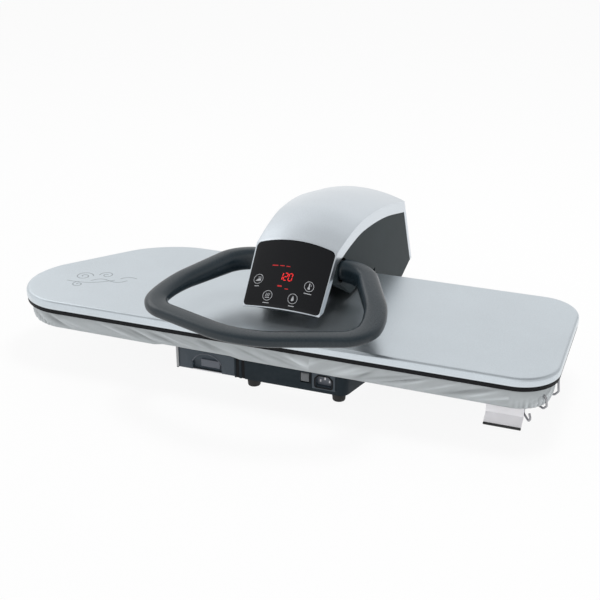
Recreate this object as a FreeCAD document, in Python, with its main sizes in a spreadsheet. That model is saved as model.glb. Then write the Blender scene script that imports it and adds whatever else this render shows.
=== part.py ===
"""Steam ironing press: a heated plate on a hinged arm closes on a padded board over a plastic base."""
import FreeCAD
import Part
import Sketcher
import math
import os

V = FreeCAD.Vector
doc = FreeCAD.newDocument("steam_ironing_press")
sheet = doc.addObject("Spreadsheet::Sheet", "Dims")

# Driving sizes in millimetres: name, number, meaning.
# Sideways places are taken from the middle of the arm, depths from the front edge of the heated plate.
SIZES = [
    ("seat_gap", 0.3, "clearance between a soft piece or a cover and its neighbour"),
    ("run_gap", 0.05, "radial clearance of a running pin"),
    # plan of the heated plate and the board
    ("plate_right", 406, "straight right end of the plate"),
    ("plate_left", 436, "tip of the nose"),
    ("plate_depth", 286, "front edge to back edge"),
    ("corner_radius", 59, "two right corners"),
    ("taper_start", 301, "where the back edge turns into the taper"),
    ("taper_radius", 140, "turn from back edge to taper"),
    ("nose_length", 117.5, "depth of the blunt nose"),
    ("shoulder_radius", 92, "turn from taper to nose"),
    ("nose_radius", 84, "front corner of the nose"),
    # base
    ("foot_height", 12, "rubber foot"),
    ("foot_radius", 10.5, "rubber foot at its seat"),
    ("foot_tip_radius", 9.5, "rubber foot at the floor"),
    ("foot_left", 44, "left front foot"),
    ("foot_right", 91, "right front foot"),
    ("foot_inset", 11, "feet from the base's edges"),
    ("base_setback", 44, "base front behind the plate's front edge"),
    ("base_left", 168, "left wall of the base"),
    ("base_right", 104, "right wall of the base at the front"),
    ("base_flare", 61, "how far the right wall stands out at the back"),
    ("base_depth", 234, "base front to back"),
    ("base_height", 54, "base housing"),
    ("base_wall", 2.5, "base housing wall"),
    ("base_front_radius", 14, "front corners of the base"),
    ("base_rear_radius", 20, "rear corners of the base"),
    ("floor_sheet", 1.5, "steel floor of the base"),
    ("rear_half", 58, "half width of the rear housing"),
    ("rear_margin", 19, "rear housing behind the hinge"),
    ("rear_height", 33, "rear housing wall"),
    ("notch_height", 30, "opening from the base to the rear housing"),
    ("groove_width", 5, "dark upright grooves beside the tank"),
    ("groove_depth", 1.6, "depth of those grooves"),
    ("groove_pitch", 9, "spacing of the grooves"),
    ("groove_start", 69, "left groove from the middle"),
    # board
    ("rail_height", 12.8, "cross rails on the base"),
    ("rail_width", 24, "cross rails"),
    ("rail_wall", 1.6, "cross rail sheet"),
    ("rail_left", 300, "left end of the rails"),
    ("rail_right", 300, "right end of the rails"),
    ("rail_front", 60, "front rail"),
    ("rail_pitch", 126, "rail to rail"),
    ("tray_sheet", 1.2, "board tray sheet"),
    ("tray_flange", 5, "turned-down edge of the tray"),
    ("tray_inset", 12.1, "tray inside the plate's outline"),
    ("vent_radius", 6, "steam holes in the tray"),
    ("vent_pitch", 80, "steam holes along the tray"),
    ("vent_row", 99, "rows of steam holes"),
    ("pad_thickness", 10, "felt pad"),
    ("pad_inset", 12.1, "pad inside the plate's outline"),
    ("cloth_inset", 10, "cloth inside the plate's outline"),
    ("cloth_wall", 1, "cloth"),
    ("cloth_round", 5, "cloth over the pad's top edge"),
    ("skirt_height", 24.9, "cloth hanging over the tray's edge"),
    ("hem_width", 7, "gathered hem under the tray"),
    # board cover fitting at the right end
    ("clip_left", 314, "bright bracket, left end"),
    ("clip_width", 52, "bright bracket"),
    ("clip_y", 22, "upright web of the bracket"),
    ("clip_sheet", 1.5, "bracket sheet"),
    ("clip_drop", 36, "web below the tray's sheet before the lip"),
    ("clip_flange", 18, "flange screwed under the tray"),
    ("clip_lip_reach", 14, "slanted lip towards the front"),
    ("clip_lip_drop", 9.5, "slanted lip downwards"),
    ("clip_edge", 3, "dark edging along the lip"),
    ("hook_x", 377, "wire hooks under the right end"),
    ("hook_front", 46, "front hook"),
    ("hook_pitch", 64, "hook to hook"),
    ("hook_wire", 1.6, "radius of the hook's wire"),
    ("hook_bend", 6.5, "bend radius of the hook"),
    ("hook_span", 14, "leg to leg of a hook"),
    ("hook_drop", 20.8, "hook below the tray's sheet"),
    # heated plate
    ("sole_depth", 6.9, "soleplate below the rim's top"),
    ("sole_inset", 14.3, "soleplate inside the outline"),
    ("flange_thick", 3, "soleplate flange that lies on the rim"),
    ("flange_inset", 6, "soleplate flange inside the outline"),
    ("steam_hole_radius", 2.5, "steam holes of the soleplate"),
    ("steam_pitch", 36, "steam holes along the soleplate"),
    ("steam_row", 40, "rows of steam holes"),
    ("rim_height", 5.5, "heat-proof rim"),
    ("rim_inset", 0.8, "heat-proof rim inside the outline"),
    ("rim_inner", 14, "inner edge of the rim"),
    ("cover_height", 12, "plate cover"),
    ("cover_wall", 1.6, "plate cover sheet"),
    ("cover_round", 5, "rounded top edge of the plate cover"),
    ("element_radius", 3.2, "heating element tube"),
    ("element_left", 270, "left bend of the element"),
    ("element_right", 350, "right bend of the element"),
    ("element_front", 40, "front run of the element"),
    ("element_span", 190, "front run to back run"),
    ("element_bend", 45, "bends of the element"),
    ("chest_length", 420, "steam chest"),
    ("chest_depth", 62, "steam chest"),
    ("chest_height", 6.5, "steam chest"),
    ("chest_corner", 12, "steam chest corners"),
    ("chest_left", 230, "left end of the steam chest"),
    ("chest_front", 60, "front of the steam chest"),
    ("stat_radius", 12, "thermostat"),
    ("stat_height", 6.5, "thermostat"),
    ("stat_x", 250, "thermostat to the right"),
    ("stat_y", 175, "thermostat to the back"),
    ("spacer_radius", 6, "spacers under the plate cover"),
    ("spacer_nose_x", 340, "spacer in the nose"),
    ("spacer_nose_y", 110, "spacer in the nose"),
    ("spacer_x", 140, "spacers beside the yoke"),
    ("spacer_y", 180, "spacers beside the yoke"),
    ("spacer_end_x", 330, "spacer at the right end"),
    # yoke between arm and plate
    ("pivot_y", 175, "yoke pin"),
    ("pivot_z", 146, "yoke pin above the floor"),
    ("pivot_radius", 5, "yoke pin"),
    ("yoke_half", 23, "outside of the yoke's ears"),
    ("yoke_ear", 6, "thickness of an ear"),
    ("yoke_base", 4, "yoke foot on the soleplate"),
    ("ear_depth", 28, "ear front to back"),
    ("ear_top", 10, "ear above the pin"),
    ("slot_half", 27, "opening for the yoke"),
    ("slot_front", 126, "front of that opening"),
    ("slot_depth", 80, "depth of that opening"),
    ("press_depth", 22, "block under the pressure cam"),
    ("press_half", 9, "block under the pressure cam"),
    ("nipple_y", 193, "water nipple of the plate"),
    ("nipple_radius", 4, "water nipple"),
    ("nipple_top", 124, "top of the nipple above the floor"),
    # arm
    ("arm_front_half", 60, "half width of the arm at its lip"),
    ("arm_flare", 0.052, "growth of the half width per mm of depth"),
    ("lip_y", 52, "lip under the control panel"),
    ("lip_z", 129.5, "underside of the arm above the floor"),
    ("toe_y", 30, "panel slope carried on below the lip"),
    ("toe_z", 105.9, "its height"),
    ("toe_crown", 0.3, "its crown"),
    ("brow_y", 121, "upper edge of the control panel"),
    ("brow_z", 203.5, "its side edge"),
    ("brow_crown", 12, "its crown"),
    ("bend_y", 176, "arch above the handle"),
    ("bend_z", 214.5, "its side edge"),
    ("bend_crown", 13.2, "its crown"),
    ("crest_y", 232, "highest place of the arch"),
    ("crest_z", 219, "its side edge"),
    ("crest_crown", 14.4, "its crown"),
    ("back_y", 330, "arch behind the plate"),
    ("back_z", 208.5, "its side edge"),
    ("back_crown", 15.5, "its crown"),
    ("tail_y", 430, "upper rear edge of the arch"),
    ("tail_z", 185, "its side edge"),
    ("tail_crown", 17, "its crown"),
    ("tail_run", 70, "arch carried on past its rear edge before trimming"),
    ("belly_gap", 15, "front of the rear drop behind the plate's back edge"),
    ("drop_z", 48, "lowest edge of the rear drop above the floor"),
    ("heel_y", 428, "rear end of the lowest edge"),
    ("rear_reach", 482, "rearmost low corner of the arm"),
    ("heel_z", 63, "its height above the floor"),
    ("skin", 2.5, "arm cover at the sides and the rear"),
    ("skin_top", 3.5, "arm cover at the top, measured upright"),
    ("band", 18.5, "silver band above the side panels at the lip, measured upright"),
    ("band_growth", 1, "extra band at the rear"),
    ("rear_band", 9, "silver band along the rear edge"),
    ("panel_step", 1, "side panels set back from the silver"),
    ("panel_thick", 2.5, "side panels"),
    ("panel_clear", 0.2, "gap round a side panel"),
    ("under_thick", 2.5, "under cover"),
    ("chin_y", 100, "where the underside leaves the back of the panel head"),
    ("throat_y", 178, "where it reaches the level underside"),
    # control panel
    ("glass_half", 58.5, "half width of the control panel"),
    ("glass_drop", 3.6, "panel thickness measured upright"),
    ("glass_clear", 0.25, "gap round the control panel"),
    ("glass_low", 2.2, "panel above the lip, along the slope"),
    ("glass_length", 98.2, "panel along the slope"),
    ("glass_corner", 6, "corner radius of the panel"),
    ("carrier_wall", 2, "panel carrier"),
    ("carrier_inset", 3.5, "panel carrier inside the panel's edge"),
    ("carrier_depth", 15, "panel carrier measured upright"),
    ("circuit_thick", 1.6, "circuit boards"),
    ("board_depth", 7, "circuit board behind the slope"),
    ("display_width", 44, "display block"),
    ("display_height", 20, "display block"),
    ("display_low", 52, "display block above the lip, along the slope"),
    ("key_radius", 9.5, "touch pads"),
    ("key_wide", 36, "outer touch pads from the middle"),
    ("key_near", 17, "inner touch pads from the middle"),
    ("key_high", 40, "outer touch pads along the slope"),
    ("key_low", 22, "inner touch pads along the slope"),
    # arm frame
    ("side_plate_x", 27.5, "inside of the arm's side plates"),
    ("side_plate", 5, "arm side plates"),
    ("hinge_y", 415, "rear hinge"),
    ("hinge_z", 85, "rear hinge above the floor"),
    ("hinge_radius", 8, "hinge pin"),
    ("bush_radius", 11, "hinge bush"),
    ("tube_radius", 8, "cross tubes"),
    ("tube_front_y", 250, "front cross tube"),
    ("tube_front_z", 193, "front cross tube above the floor"),
    ("tube_rear_y", 345, "rear cross tube"),
    ("tube_rear_z", 138, "rear cross tube above the floor"),
    ("post_radius", 5, "posts that carry the side panels"),
    ("post_front_y", 212, "front posts"),
    ("post_front_z", 160, "front posts above the floor"),
    ("post_rear_y", 330, "rear posts"),
    ("post_rear_z", 165, "rear posts above the floor"),
    ("bracket_half", 48, "outside of the hinge bracket"),
    ("bracket_sheet", 4, "hinge bracket"),
    ("bracket_front", 340, "front of the hinge bracket"),
    ("bracket_rear", 431, "rear of the hinge bracket"),
    ("bracket_top", 100, "hinge bracket above the floor"),
    ("bracket_nose", 45, "front of the hinge bracket above the floor"),
    ("spring_radius", 14, "lift springs"),
    ("spring_bore", 10.5, "inside of the lift springs"),
    # handle
    ("handle_y", 143, "handle shaft"),
    ("handle_z", 168, "handle shaft above the floor"),
    ("handle_fall", 0.052, "fall of the loop towards the front per mm"),
    ("hub_radius", 18.5, "handle hubs"),
    ("hub_inner", 56, "inner face of the hubs"),
    ("hub_outer", 68, "outer face of the hubs"),
    ("hub_clear", 0.5, "side panel round the hub"),
    ("shaft_radius", 9, "handle shaft"),
    ("grip_width", 33, "handle section across"),
    ("grip_thick", 17, "handle section upright"),
    ("grip_round", 8, "rounding of the handle section"),
    ("loop_elbow", 92, "where the loop leaves the hub"),
    ("loop_half", 156, "widest place of the loop"),
    ("loop_side", 125, "end of the slanting sides"),
    ("loop_corner", 193, "front corners"),
    ("loop_front", 245, "corner of the bowed front"),
    ("elbow_radius", 38, "bend at the hub"),
    ("side_radius", 150, "bend of the sides"),
    ("corner_bend", 40, "front corners"),
    ("front_radius", 150, "bow of the front"),
    ("cam_radius", 16, "pressure cam"),
    ("cam_offset", 4, "throw of the pressure cam"),
    ("cam_half", 6, "half thickness of the pressure cam"),
    # water tank
    ("tank_left", 165, "left side of the tank"),
    ("tank_width", 93.5, "tank"),
    ("tank_height", 48, "tank"),
    ("tank_room", 34, "room for the valve and its socket behind the tank"),
    ("tank_wall", 2, "tank wall"),
    ("tank_front", 10, "tank front"),
    ("pull_left", 141, "finger recess, left edge"),
    ("pull_width", 48, "finger recess"),
    ("pull_low", 14, "finger recess, straight part"),
    ("pull_depth", 7, "finger recess"),
    ("scoop_depth", 3, "half-round scoop over the recess"),
    ("scoop_height", 15, "half-round scoop over the recess"),
    ("cap_height", 5, "filler plug below the lid"),
    ("filler_radius", 11, "filler hole"),
    ("valve_radius", 7, "tank valve"),
    ("valve_length", 16, "tank valve"),
    ("socket_half", 12, "half width of the valve's socket"),
    ("socket_length", 22, "valve's socket"),
    ("socket_depth", 12, "how deep its bore is"),
    ("socket_lap", 10, "how far the valve stands in it"),
    # switch and inlet
    ("switch_x", 41, "power switch"),
    ("switch_z", 32.5, "power switch above the floor"),
    ("rocker_half", 6.5, "half width of the rocker"),
    ("rocker_radius", 8.5, "rocker round its axle"),
    ("rocker_flat", 6, "rocker face in front of its axle"),
    ("rocker_depth", 6.5, "axle behind the base front"),
    ("axle_radius", 1.5, "rocker axle"),
    ("switch_wall", 1.4, "switch housing"),
    ("switch_length", 18, "switch housing"),
    ("switch_gap", 0.5, "rocker in its housing"),
    ("inlet_x", 71, "mains inlet"),
    ("inlet_z", 31, "mains inlet above the floor"),
    ("inlet_frame", 35.6, "inlet frame"),
    ("inlet_frame_height", 26, "inlet frame"),
    ("inlet_proud", 1.5, "inlet frame in front of the base"),
    ("inlet_width", 24, "inlet opening"),
    ("inlet_height", 17, "inlet opening"),
    ("inlet_wall", 1.6, "inlet body"),
    ("inlet_depth", 16, "inlet opening"),
    ("inlet_back", 5, "inlet back wall"),
    ("inlet_bevel", 5, "upper corners of the inlet opening"),
    ("blade_width", 2, "inlet pins"),
    ("blade_height", 4, "inlet pins"),
    ("blade_length", 14, "inlet pins"),
    ("blade_pitch", 7, "inlet pins"),
    ("blade_rise", 4, "middle pin above the outer pins"),
    # pump, hose, power board and wiring
    ("pump_radius", 17, "pump"),
    ("pump_room", 73, "front of the pump before the base's rear"),
    ("pump_length", 70, "pump"),
    ("pump_foot", 4, "pump above the floor sheet"),
    ("nozzle_length", 12, "pump outlet"),
    ("hose_radius", 4, "water hose"),
    ("hose_rise_y", 384, "hose in front of the hinge"),
    ("hose_high_z", 150, "hose behind the arch's middle"),
    ("hose_top_y", 318, "hose under the arch"),
    ("hose_top_z", 176, "hose under the arch above the floor"),
    ("hose_bend", 24, "hose bends"),
    ("power_left", 40, "power board"),
    ("power_width", 84, "power board"),
    ("power_front", 76, "power board"),
    ("power_depth", 62, "power board"),
    ("standoff", 12, "power board above the floor sheet"),
    ("standoff_radius", 3, "standoffs"),
    ("wire_radius", 2.6, "mains wiring"),
    ("wire_pitch", 10, "wire to wire at the inlet"),
    ("wire_loop", 84, "back of the switch wire's loop"),
    ("wire_bend", 8, "wire bends"),
    ("screw_head", 4.5, "screw heads"),
    ("screw_head_height", 2.5, "screw heads"),
]


class Size:
    """A length that keeps its formula in the sheet's names beside its present number."""

    def __init__(self, text, value):
        self.text = text
        self.value = value

    def join(self, sign, other, value):
        return Size("(%s %s %s)" % (self.text, sign, other.text), value)

    def __add__(self, other):
        other = as_size(other)
        return self.join("+", other, self.value + other.value)

    def __sub__(self, other):
        other = as_size(other)
        return self.join("-", other, self.value - other.value)

    def __mul__(self, other):
        other = as_size(other)
        return self.join("*", other, self.value * other.value)

    def __truediv__(self, other):
        other = as_size(other)
        return self.join("/", other, self.value / other.value)

    def __neg__(self):
        return as_size(0) - self

    def root(self):
        return Size("sqrt(%s)" % self.text, math.sqrt(self.value))


def as_size(item):
    if isinstance(item, Size):
        return item
    return Size("(%r)" % float(item), float(item))


for row, (alias, number, meaning) in enumerate(SIZES, 1):
    sheet.set("A%d" % row, meaning)
    sheet.set("B%d" % row, str(number))
    sheet.setAlias("B%d" % row, alias)
doc.recompute()


class Dims:
    """Every named size of the sheet."""


for alias, number, meaning in SIZES:
    setattr(Dims, alias, Size("Dims." + alias, float(sheet.get(alias))))
D = Dims

# Places worked out from the driving sizes.
MID_X = (D.plate_left - D.plate_right) / 2
FALL_COS = as_size(1) / (D.handle_fall * D.handle_fall + 1).root()
FALL_SIN = D.handle_fall * FALL_COS
BOW = (D.loop_front - D.loop_corner) / D.loop_half
LOOP_REACH = D.loop_front - D.front_radius * ((BOW * BOW + 1).root() - 1) + D.grip_width / 2
HANDLE_REACH = (FALL_COS * (LOOP_REACH - D.grip_round) + D.grip_round
                + FALL_SIN * (D.grip_thick / 2 - D.grip_round) - D.handle_y)
FRONT_Y = (HANDLE_REACH - D.rear_reach) / 2
BASE_TOP = D.foot_height + D.base_height
FLOOR_TOP = D.foot_height + D.floor_sheet
TRAY_UNDER = BASE_TOP + D.rail_height
TRAY_TOP = TRAY_UNDER + D.tray_sheet
PAD_TOP = TRAY_TOP + D.pad_thickness
CLOTH_TOP = PAD_TOP + D.seat_gap + D.cloth_wall
SKIRT_Z = CLOTH_TOP - D.skirt_height
SOLE_Z = CLOTH_TOP + D.seat_gap
RIM_TOP = SOLE_Z + D.sole_depth
FLANGE_TOP = RIM_TOP + D.flange_thick
COVER_TOP = RIM_TOP + D.cover_height
BASE_REAR = D.base_setback + D.base_depth
TANK_LENGTH = D.base_depth - D.tank_room
PUMP_Y = BASE_REAR - D.pump_room
REAR_LENGTH = D.hinge_y + D.rear_margin - BASE_REAR
BELLY_Y = D.plate_depth + D.belly_gap
ZERO = as_size(0)
FAR = D.plate_right + D.plate_left

PARTS = {}


def keep(label, item):
    """Mark a finished piece: its label is the piece's name."""
    item.Label = label
    PARTS[label] = item
    return item


def bind(item, prop, size):
    item.setExpression(prop, as_size(size).text)


def place(item, x, y, z):
    """Put a piece's own zero at a depth and a sideways place of the press."""
    bind(item, "Placement.Base.x", MID_X + x)
    bind(item, "Placement.Base.y", FRONT_Y + y)
    bind(item, "Placement.Base.z", as_size(z))


def box(name, x, y, z, length, width, height):
    item = doc.addObject("Part::Box", name)
    bind(item, "Length", length)
    bind(item, "Width", width)
    bind(item, "Height", height)
    place(item, as_size(x), as_size(y), z)
    return item


AXES = {"X": FreeCAD.Rotation(V(0, 1, 0), 90), "Y": FreeCAD.Rotation(V(1, 0, 0), -90),
        "Z": FreeCAD.Rotation()}


def cylinder(name, axis, x, y, z, radius, length):
    """A round bar that starts at the place given and runs along +X, +Y or +Z."""
    item = doc.addObject("Part::Cylinder", name)
    item.Placement = FreeCAD.Placement(V(), AXES[axis])
    bind(item, "Radius", radius)
    bind(item, "Height", length)
    place(item, as_size(x), as_size(y), z)
    return item


def cone(name, x, y, z, low_radius, high_radius, height):
    item = doc.addObject("Part::Cone", name)
    bind(item, "Radius1", low_radius)
    bind(item, "Radius2", high_radius)
    bind(item, "Height", height)
    place(item, as_size(x), as_size(y), z)
    return item


def fuse(name, *items):
    item = doc.addObject("Part::MultiFuse", name)
    item.Shapes = list(items)
    item.Refine = True
    return item


def cut(name, base, *tools):
    tool = tools[0]
    if len(tools) > 1:
        tool = doc.addObject("Part::Compound", name + "_tools")
        tool.Links = list(tools)
    item = doc.addObject("Part::Cut", name)
    item.Base = base
    item.Tool = tool
    return item


def common(name, first, second):
    item = doc.addObject("Part::Common", name)
    item.Base = first
    item.Tool = second
    return item


def group(name, items):
    """Separate like pieces that share one name."""
    item = doc.addObject("Part::Compound", name)
    item.Links = list(items)
    return item


def hold_point(sketch, geometry, end, x, y):
    """Tie one point of a sketch to its two sizes."""
    for kind, size in (("DistanceX", x), ("DistanceY", y)):
        index = sketch.addConstraint(Sketcher.Constraint(kind, -1, 1, geometry, end, size.value))
        sketch.setExpression("Constraints[%d]" % index, size.text)


def corner_arc(before, corner, after, radius):
    """Start, middle and end of the arc that rounds one corner."""
    into = (before - corner).normalize()
    out = (after - corner).normalize()
    half_angle = into.getAngle(out) / 2
    reach = radius / math.tan(half_angle)
    bisector = (into + out).normalize()
    centre = corner + bisector * (radius / math.sin(half_angle))
    return corner + into * reach, centre - bisector * radius, corner + out * reach


def draw_outline(sketch, corners, radii, closed=True):
    """Straight runs joined by tangent arcs, each corner and each radius tied to its size."""
    corners = [(as_size(x), as_size(y)) for x, y in corners]
    points = [V(x.value, y.value, 0) for x, y in corners]
    count = len(points)
    starts = list(points)
    ends = list(points)
    arcs = {}
    for i, radius in enumerate(radii):
        if radius is not None:
            arcs[i] = corner_arc(points[i - 1], points[i], points[(i + 1) % count], as_size(radius).value)
            ends[i], starts[i] = arcs[i][0], arcs[i][2]
    runs = count if closed else count - 1
    for i in range(runs):
        sketch.addGeometry(Part.LineSegment(starts[i], ends[(i + 1) % count]), False)
    for i in range(count):
        line_in = (i - 1) % count
        line_out = i
        if i in arcs:
            arc = sketch.addGeometry(Part.Arc(*arcs[i]), False)
            first = 1 if (sketch.Geometry[arc].StartPoint - ends[i]).Length < 1e-6 else 2
            sketch.addConstraint(Sketcher.Constraint("Tangent", line_in, 2, arc, first))
            sketch.addConstraint(Sketcher.Constraint("Tangent", line_out, 1, arc, 3 - first))
            radius = as_size(radii[i])
            index = sketch.addConstraint(Sketcher.Constraint("Radius", arc, radius.value))
            sketch.setExpression("Constraints[%d]" % index, radius.text)
            corner = sketch.addGeometry(Part.Point(points[i]), True)
            hold_point(sketch, corner, 1, *corners[i])
            sketch.addConstraint(Sketcher.Constraint("PointOnObject", corner, 1, line_in))
            sketch.addConstraint(Sketcher.Constraint("PointOnObject", corner, 1, line_out))
        elif closed or 0 < i < count - 1:
            sketch.addConstraint(Sketcher.Constraint("Coincident", line_in, 2, line_out, 1))
            hold_point(sketch, line_out, 1, *corners[i])
        elif i == 0:
            hold_point(sketch, line_out, 1, *corners[i])
        else:
            hold_point(sketch, line_in, 2, *corners[i])


def pad_body(name, plane, corners, radii, offset, length):
    """A body padded from a rounded outline on one of its origin planes."""
    body = doc.addObject("PartDesign::Body", name)
    sketch = body.newObject("Sketcher::SketchObject", name + "_outline")
    support = [item for item in body.Origin.OriginFeatures if item.Role == plane][0]
    sketch.AttachmentSupport = [(support, "")]
    sketch.MapMode = "FlatFace"
    bind(sketch, "AttachmentOffset.Base.z", offset)
    draw_outline(sketch, corners, radii)
    pad = body.newObject("PartDesign::Pad", name + "_pad")
    pad.Profile = sketch
    bind(pad, "Length", length)
    doc.recompute()
    return body


def round_edges(body, name, radius, wanted):
    """Fillet the edges of a body for which wanted(edge) is true."""
    base = body.Tip
    picked = ["Edge%d" % k for k, edge in enumerate(base.Shape.Edges, 1) if wanted(edge)]
    fillet = body.newObject("PartDesign::Fillet", name)
    fillet.Base = (base, picked)
    bind(fillet, "Radius", radius)
    doc.recompute()
    return body


def at_height(z):
    """Picks the edges that lie flat at one height."""
    level = as_size(z).value

    def test(edge):
        return abs(edge.BoundBox.ZMin - level) < 1e-4 and abs(edge.BoundBox.ZMax - level) < 1e-4
    return test


def slab(name, outline, z, height):
    """A flat body from an outline in plan, already placed in the frame of the press."""
    corners, radii = outline
    moved = [(MID_X + x, FRONT_Y + y) for x, y in corners]
    return pad_body(name, "XY_Plane", moved, radii, as_size(z), as_size(height))


def side_profile(name, corners, start, width):
    """A body with a straight-sided profile (depth, height) between two sideways places."""
    moved = [(FRONT_Y + y, as_size(z)) for y, z in corners]
    return pad_body(name, "YZ_Plane", moved, [None] * len(moved), MID_X + start, width)


def front_profile(name, corners, y, depth):
    """A body with a profile seen from the front (sideways, height) between two depths."""
    moved = [(MID_X + x, as_size(z)) for x, z in corners]
    return pad_body(name, "XZ_Plane", moved, [None] * len(moved), -(FRONT_Y + y + depth), depth)


# Planes for bent tubes: how a sketch lies in them and which way its two directions run.
PLANES = {
    "XY": (FreeCAD.Rotation(), V(1, 0, 0), V(0, 1, 0)),
    "YZ": (FreeCAD.Rotation(V(0, 1, 0), V(0, 0, 1), V(1, 0, 0)), V(0, 1, 0), V(0, 0, 1)),
    "XZ": (FreeCAD.Rotation(V(1, 0, 0), 90), V(1, 0, 0), V(0, 0, 1)),
}


def sweep(name, path, section, area):
    """A solid drawn along an open path; its volume is held against section times length."""
    doc.recompute()
    item = doc.addObject("Part::Sweep", name)
    item.Sections = [section]
    item.Spine = (path, ["Edge%d" % (k + 1) for k in range(len(path.Shape.Edges))])
    item.Solid = True
    item.Frenet = False
    item.Transition = "Transformed"
    doc.recompute()
    ratio = item.Shape.Volume / (area * path.Shape.Length)
    print("%s: volume over section times length %.4f" % (name, ratio))
    return item


def tube(name, plane, x, y, z, corners, bend, radius):
    """A round tube bent in one plane; corners are measured from the place given."""
    turn, along_u, along_v = PLANES[plane]
    corners = [(as_size(u), as_size(v)) for u, v in corners]
    path = doc.addObject("Sketcher::SketchObject", name + "_path")
    path.Placement = FreeCAD.Placement(V(), turn)
    place(path, x, y, z)
    draw_outline(path, corners, [None] + [bend] * (len(corners) - 2) + [None], closed=False)
    first_u, first_v = corners[0]
    next_u, next_v = corners[1]
    heading = along_u * (next_u - first_u).value + along_v * (next_v - first_v).value
    ring = doc.addObject("Sketcher::SketchObject", name + "_ring")
    ring.Placement = FreeCAD.Placement(V(), FreeCAD.Rotation(V(0, 0, 1), heading))
    place(ring, x + first_u * along_u.x, y + first_u * along_u.y + first_v * along_v.y,
          z + first_v * along_v.z)
    circle = ring.addGeometry(Part.Circle(V(), V(0, 0, 1), radius.value), False)
    ring.addConstraint(Sketcher.Constraint("Coincident", circle, 3, -1, 1))
    index = ring.addConstraint(Sketcher.Constraint("Radius", circle, radius.value))
    ring.setExpression("Constraints[%d]" % index, radius.text)
    return sweep(name, path, ring, math.pi * radius.value ** 2)


def plate_outline(inset):
    """Plan of the heated plate and the board, drawn in by an inset."""
    inset = as_size(inset)
    run = D.plate_left - D.taper_start
    rise = D.plate_depth - D.nose_length
    taper = (run * run + rise * rise).root()
    lean = run / taper
    steep = rise / taper
    corners = [
        (D.plate_right - inset, inset),
        (D.plate_right - inset, D.plate_depth - inset),
        (inset * (as_size(1) - lean) / steep - D.taper_start, D.plate_depth - inset),
        (inset - D.plate_left, D.nose_length - inset * (as_size(1) - steep) / lean),
        (inset - D.plate_left, inset),
    ]
    radii = [D.corner_radius - inset, D.corner_radius - inset, D.taper_radius - inset,
             D.shoulder_radius - inset, D.nose_radius - inset]
    return corners, radii


def base_outline(inset):
    """Plan of the base housing, drawn in by an inset."""
    inset = as_size(inset)
    lean = D.base_flare / D.base_depth
    side = (lean * lean + 1).root()
    right_front = D.base_right - inset * side + inset * lean
    right_rear = D.base_right + D.base_flare - inset * side - inset * lean
    front = D.base_setback + inset
    rear = BASE_REAR - inset
    left = inset - D.base_left
    corners = [(right_front, front), (right_rear, rear), (left, rear), (left, front)]
    radii = [D.base_front_radius - inset, D.base_rear_radius - inset, D.base_rear_radius - inset, None]
    return corners, radii


# Base housing, its steel floor and feet
foot_front = D.base_setback + D.foot_inset
foot_rear = BASE_REAR - D.foot_inset * 2
FOOT_PLACES = [
    (-D.foot_left, foot_front),
    (D.foot_right, foot_front),
    (D.foot_inset * 2 - D.base_left, foot_rear),
    (D.base_right + D.base_flare / 2, foot_rear),
]
feet = [cone("foot%d" % k, x, y, ZERO, D.foot_tip_radius, D.foot_radius, D.foot_height)
        for k, (x, y) in enumerate(FOOT_PLACES)]
keep("feet", group("feet_group", feet))

base_outer = slab("base_outer", base_outline(0), D.foot_height, D.base_height)
base_hollow = slab("base_hollow", base_outline(D.base_wall), ZERO, BASE_TOP - D.base_wall)
tank_bay = box("tank_bay", -D.tank_left - D.seat_gap, D.base_setback - D.base_wall, D.foot_height,
               D.tank_width + D.seat_gap * 2, D.base_wall * 3,
               D.tank_height + D.floor_sheet + D.seat_gap * 2)
switch_hole = box("switch_hole", D.switch_x - D.rocker_half - D.switch_gap, D.base_setback - D.base_wall,
                  D.switch_z - D.rocker_radius, (D.rocker_half + D.switch_gap) * 2, D.base_wall * 3,
                  D.rocker_radius * 2)
inlet_hole = box("inlet_hole", D.inlet_x - D.inlet_width / 2 - D.inlet_wall, D.base_setback - D.base_wall,
                 D.inlet_z - D.inlet_height / 2 - D.inlet_wall, D.inlet_width + D.inlet_wall * 2,
                 D.base_wall * 3, D.inlet_height + D.inlet_wall * 2)
rear_notch = box("rear_notch", D.base_wall - D.rear_half, BASE_REAR - D.base_wall * 2, D.foot_height,
                 (D.rear_half - D.base_wall) * 2, D.base_wall * 3, D.notch_height)
grooves = [box("groove%d" % k, D.groove_pitch * k - D.groove_start, D.base_setback - D.base_wall,
               D.foot_height, D.groove_width, D.base_wall + D.groove_depth,
               D.base_height + D.base_wall) for k in range(2)]
base_skin = cut("base_skin", base_outer, base_hollow)
divider = box("divider", D.tank_width - D.tank_left + D.seat_gap * 2, D.base_setback + D.base_wall,
              FLOOR_TOP, D.base_wall, TANK_LENGTH, D.base_height - D.floor_sheet - D.base_wall)
keep("base_shell", fuse("base_shell_walls", cut("base_openings", base_skin, tank_bay, switch_hole,
                                                inlet_hole, rear_notch, *grooves), divider))

floor_main = slab("floor_main", base_outline(D.base_wall + D.seat_gap), D.foot_height, D.floor_sheet)
floor_rear = box("floor_rear", D.base_wall + D.seat_gap - D.rear_half, BASE_REAR - D.base_wall * 4,
                 D.foot_height, (D.rear_half - D.base_wall - D.seat_gap) * 2,
                 REAR_LENGTH + D.base_wall * 3 - D.seat_gap, D.floor_sheet)
keep("base_floor", fuse("base_floor_sheet", floor_main, floor_rear))

rear_outer = box("rear_outer", -D.rear_half, BASE_REAR, D.foot_height, D.rear_half * 2, REAR_LENGTH,
                 D.rear_height)
rear_inner = box("rear_inner", D.base_wall - D.rear_half, BASE_REAR - D.base_wall, ZERO,
                 (D.rear_half - D.base_wall) * 2, REAR_LENGTH, D.base_height * 2)
keep("rear_housing", cut("rear_housing_walls", rear_outer, rear_inner))

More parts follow.
